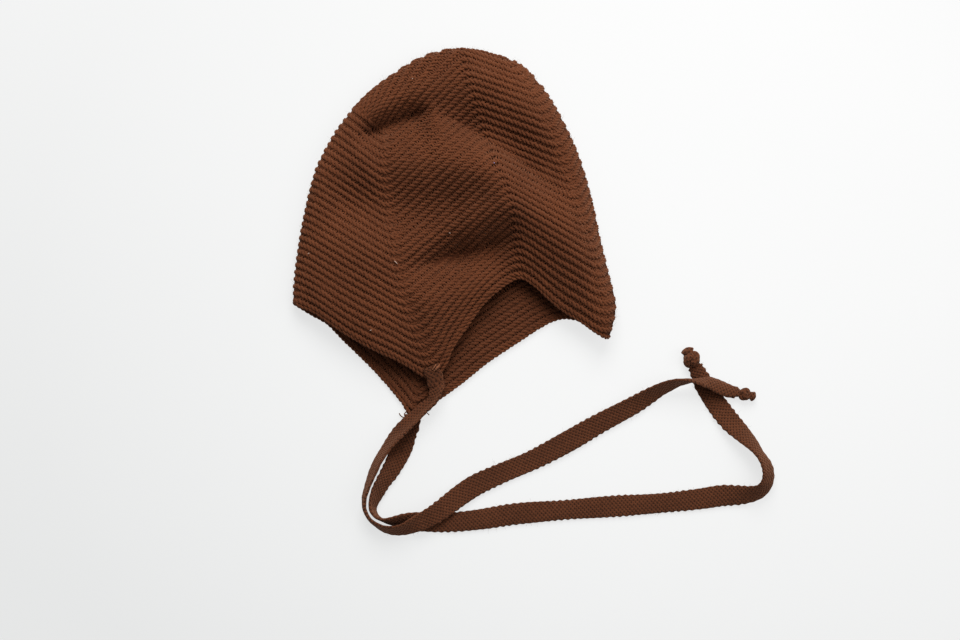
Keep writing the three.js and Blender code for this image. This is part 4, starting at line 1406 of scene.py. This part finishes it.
# %% Specks of lint
for index, (x, y) in enumerate([(-23.3, 84.2), (22.0, 36.6), (-2.6, -1.5), (-81.0, -12.7), (-46.3, -55.3)]):
    height = float(fabric_point(np.array([[x, y]]))[0, 2]) + 0.6
    way = random.uniform(0, 2 * np.pi)
    reach = random.uniform(0.3, 0.5)
    step = np.array([math.cos(way), math.sin(way), 0]) * reach
    middle = np.array([x, y, height])
    loose_yarn(f"lint_{index + 1}", [middle - step, middle + (0, 0, 0.2), middle + step], 0.2,
               BLUE_LINT if index == 1 else LINT, 5)
height = float(fabric_point(np.array([[-32.3, -17.8]]))[0, 2]) + 0.6
loose_yarn("pale_fibre", [(-33.2, -17.0, height), (-32.3, -17.8, height + 0.1), (-31.4, -18.7, height)],
           0.2, LINT, 5)

# %% [markdown]
# ## Floor and light
# The bonnet lies on a white sheet under soft light. Most of it comes from above the crown, low enough to
# graze the folds, with a weaker lamp at the right, and an even white world fills the rest. The sheet in
# the photo is so bright that its shadows are hardly there. The floor glows a little to reach that, since
# lamps alone would have to burn out the yarn first.

# %% Floor
HALF_FLOOR = 6.0
FLOOR_LEVEL = -0.0004
FLOOR_GLOW = 0.66
floor_mesh = bpy.data.meshes.new("floor")
floor_corners = [(x * HALF_FLOOR, y * HALF_FLOOR, FLOOR_LEVEL) for x, y in [(-1, -1), (1, -1), (1, 1), (-1, 1)]]
floor_mesh.from_pydata(floor_corners, [], [(0, 1, 2, 3)])
floor = add_object("floor", floor_mesh)
floor_material = bpy.data.materials.new("white_sheet")
floor_material.use_nodes = True
floor_tree = floor_material.node_tree
floor_shader = floor_tree.nodes["Principled BSDF"]
floor_place = add_node(floor_tree, "ShaderNodeTexCoord").outputs["Object"]
floor_grain = noise(floor_tree, floor_place, 3.0, 4.0)
floor_white = mixed(floor_tree, floor_grain, (0.115, 0.1165, 0.117, 1), (0.125, 0.1265, 0.127, 1))
floor_tree.links.new(floor_white, floor_shader.inputs["Base Color"])
# The floor's glow is painted light: brighter towards the right and the top, as the lamps fall off over the
# sheet.
floor_parts = add_node(floor_tree, "ShaderNodeSeparateXYZ", None, {0: floor_place}).outputs
floor_right = maths(floor_tree, "MULTIPLY", floor_parts["X"], 0.65)
floor_share = spread(floor_tree, maths(floor_tree, "ADD", floor_right, floor_parts["Y"]), -0.35, 0.25)
floor_glow = mixed(floor_tree, floor_share, (0.86, 0.868, 0.868, 1), (1.0, 1.0, 1.0, 1))
# It is also a painted pool of light: full glow within 8 cm of a point right of the bonnet, six hundredths less
# beyond 30 cm.
floor_away = add_node(floor_tree, "ShaderNodeVectorMath", {"operation": "DISTANCE"},
                      {0: floor_place, 1: (0.06, -0.05, 0.0)}).outputs["Value"]
floor_painted_pool = spread(floor_tree, floor_away, 0.08, 0.3, **{"To Min": 1.0, "To Max": 0.94})
floor_painted_light = mixed(floor_tree, 1.0, floor_glow, floor_painted_pool, blend_type="MULTIPLY")
floor_tree.links.new(floor_painted_light, floor_shader.inputs["Emission Color"])
floor_shader.inputs["Emission Strength"].default_value = FLOOR_GLOW
floor_shader.inputs["Roughness"].default_value = 0.85
floor_shader.inputs["Specular IOR Level"].default_value = 0.2
floor_mesh.materials.append(floor_material)

# %% Lights
bpy.context.scene.view_settings.view_transform = "Standard"
bpy.context.scene.view_settings.look = "Medium High Contrast"


def add_area(name, place, target, size, power, colour):
    """A square lamp that faces a point."""
    data = bpy.data.lights.new(name, "AREA")
    data.size = size
    data.energy = power
    data.color = colour
    lamp = add_object(name, data)
    lamp.location = place
    lamp.rotation_euler = (Vector(target) - Vector(place)).to_track_quat("-Z", "Y").to_euler()


add_area("key", (0.06, 1.15, 1.2), (0.02, -0.03, 0), 1.1, 36, (1.0, 0.99, 0.975))
add_area("side", (1.3, 0.0, 1.4), (0.02, -0.03, 0), 1.3, 11, (1.0, 0.99, 0.98))
world = bpy.data.worlds.new("world")
world.use_nodes = True
world.node_tree.nodes["Background"].inputs["Color"].default_value = (1.0, 1.0, 1.0, 1)
world.node_tree.nodes["Background"].inputs["Strength"].default_value = 0.3
bpy.context.scene.world = world
print("lights:", ", ".join(light.name for light in bpy.data.lights))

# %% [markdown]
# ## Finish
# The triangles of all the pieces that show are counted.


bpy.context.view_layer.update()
triangle_count = sum(len(polygon.vertices) - 2 for piece in bpy.data.objects if piece.type == "MESH"
                     and not piece.hide_render for polygon in piece.data.polygons)
print("triangles in all:", triangle_count)
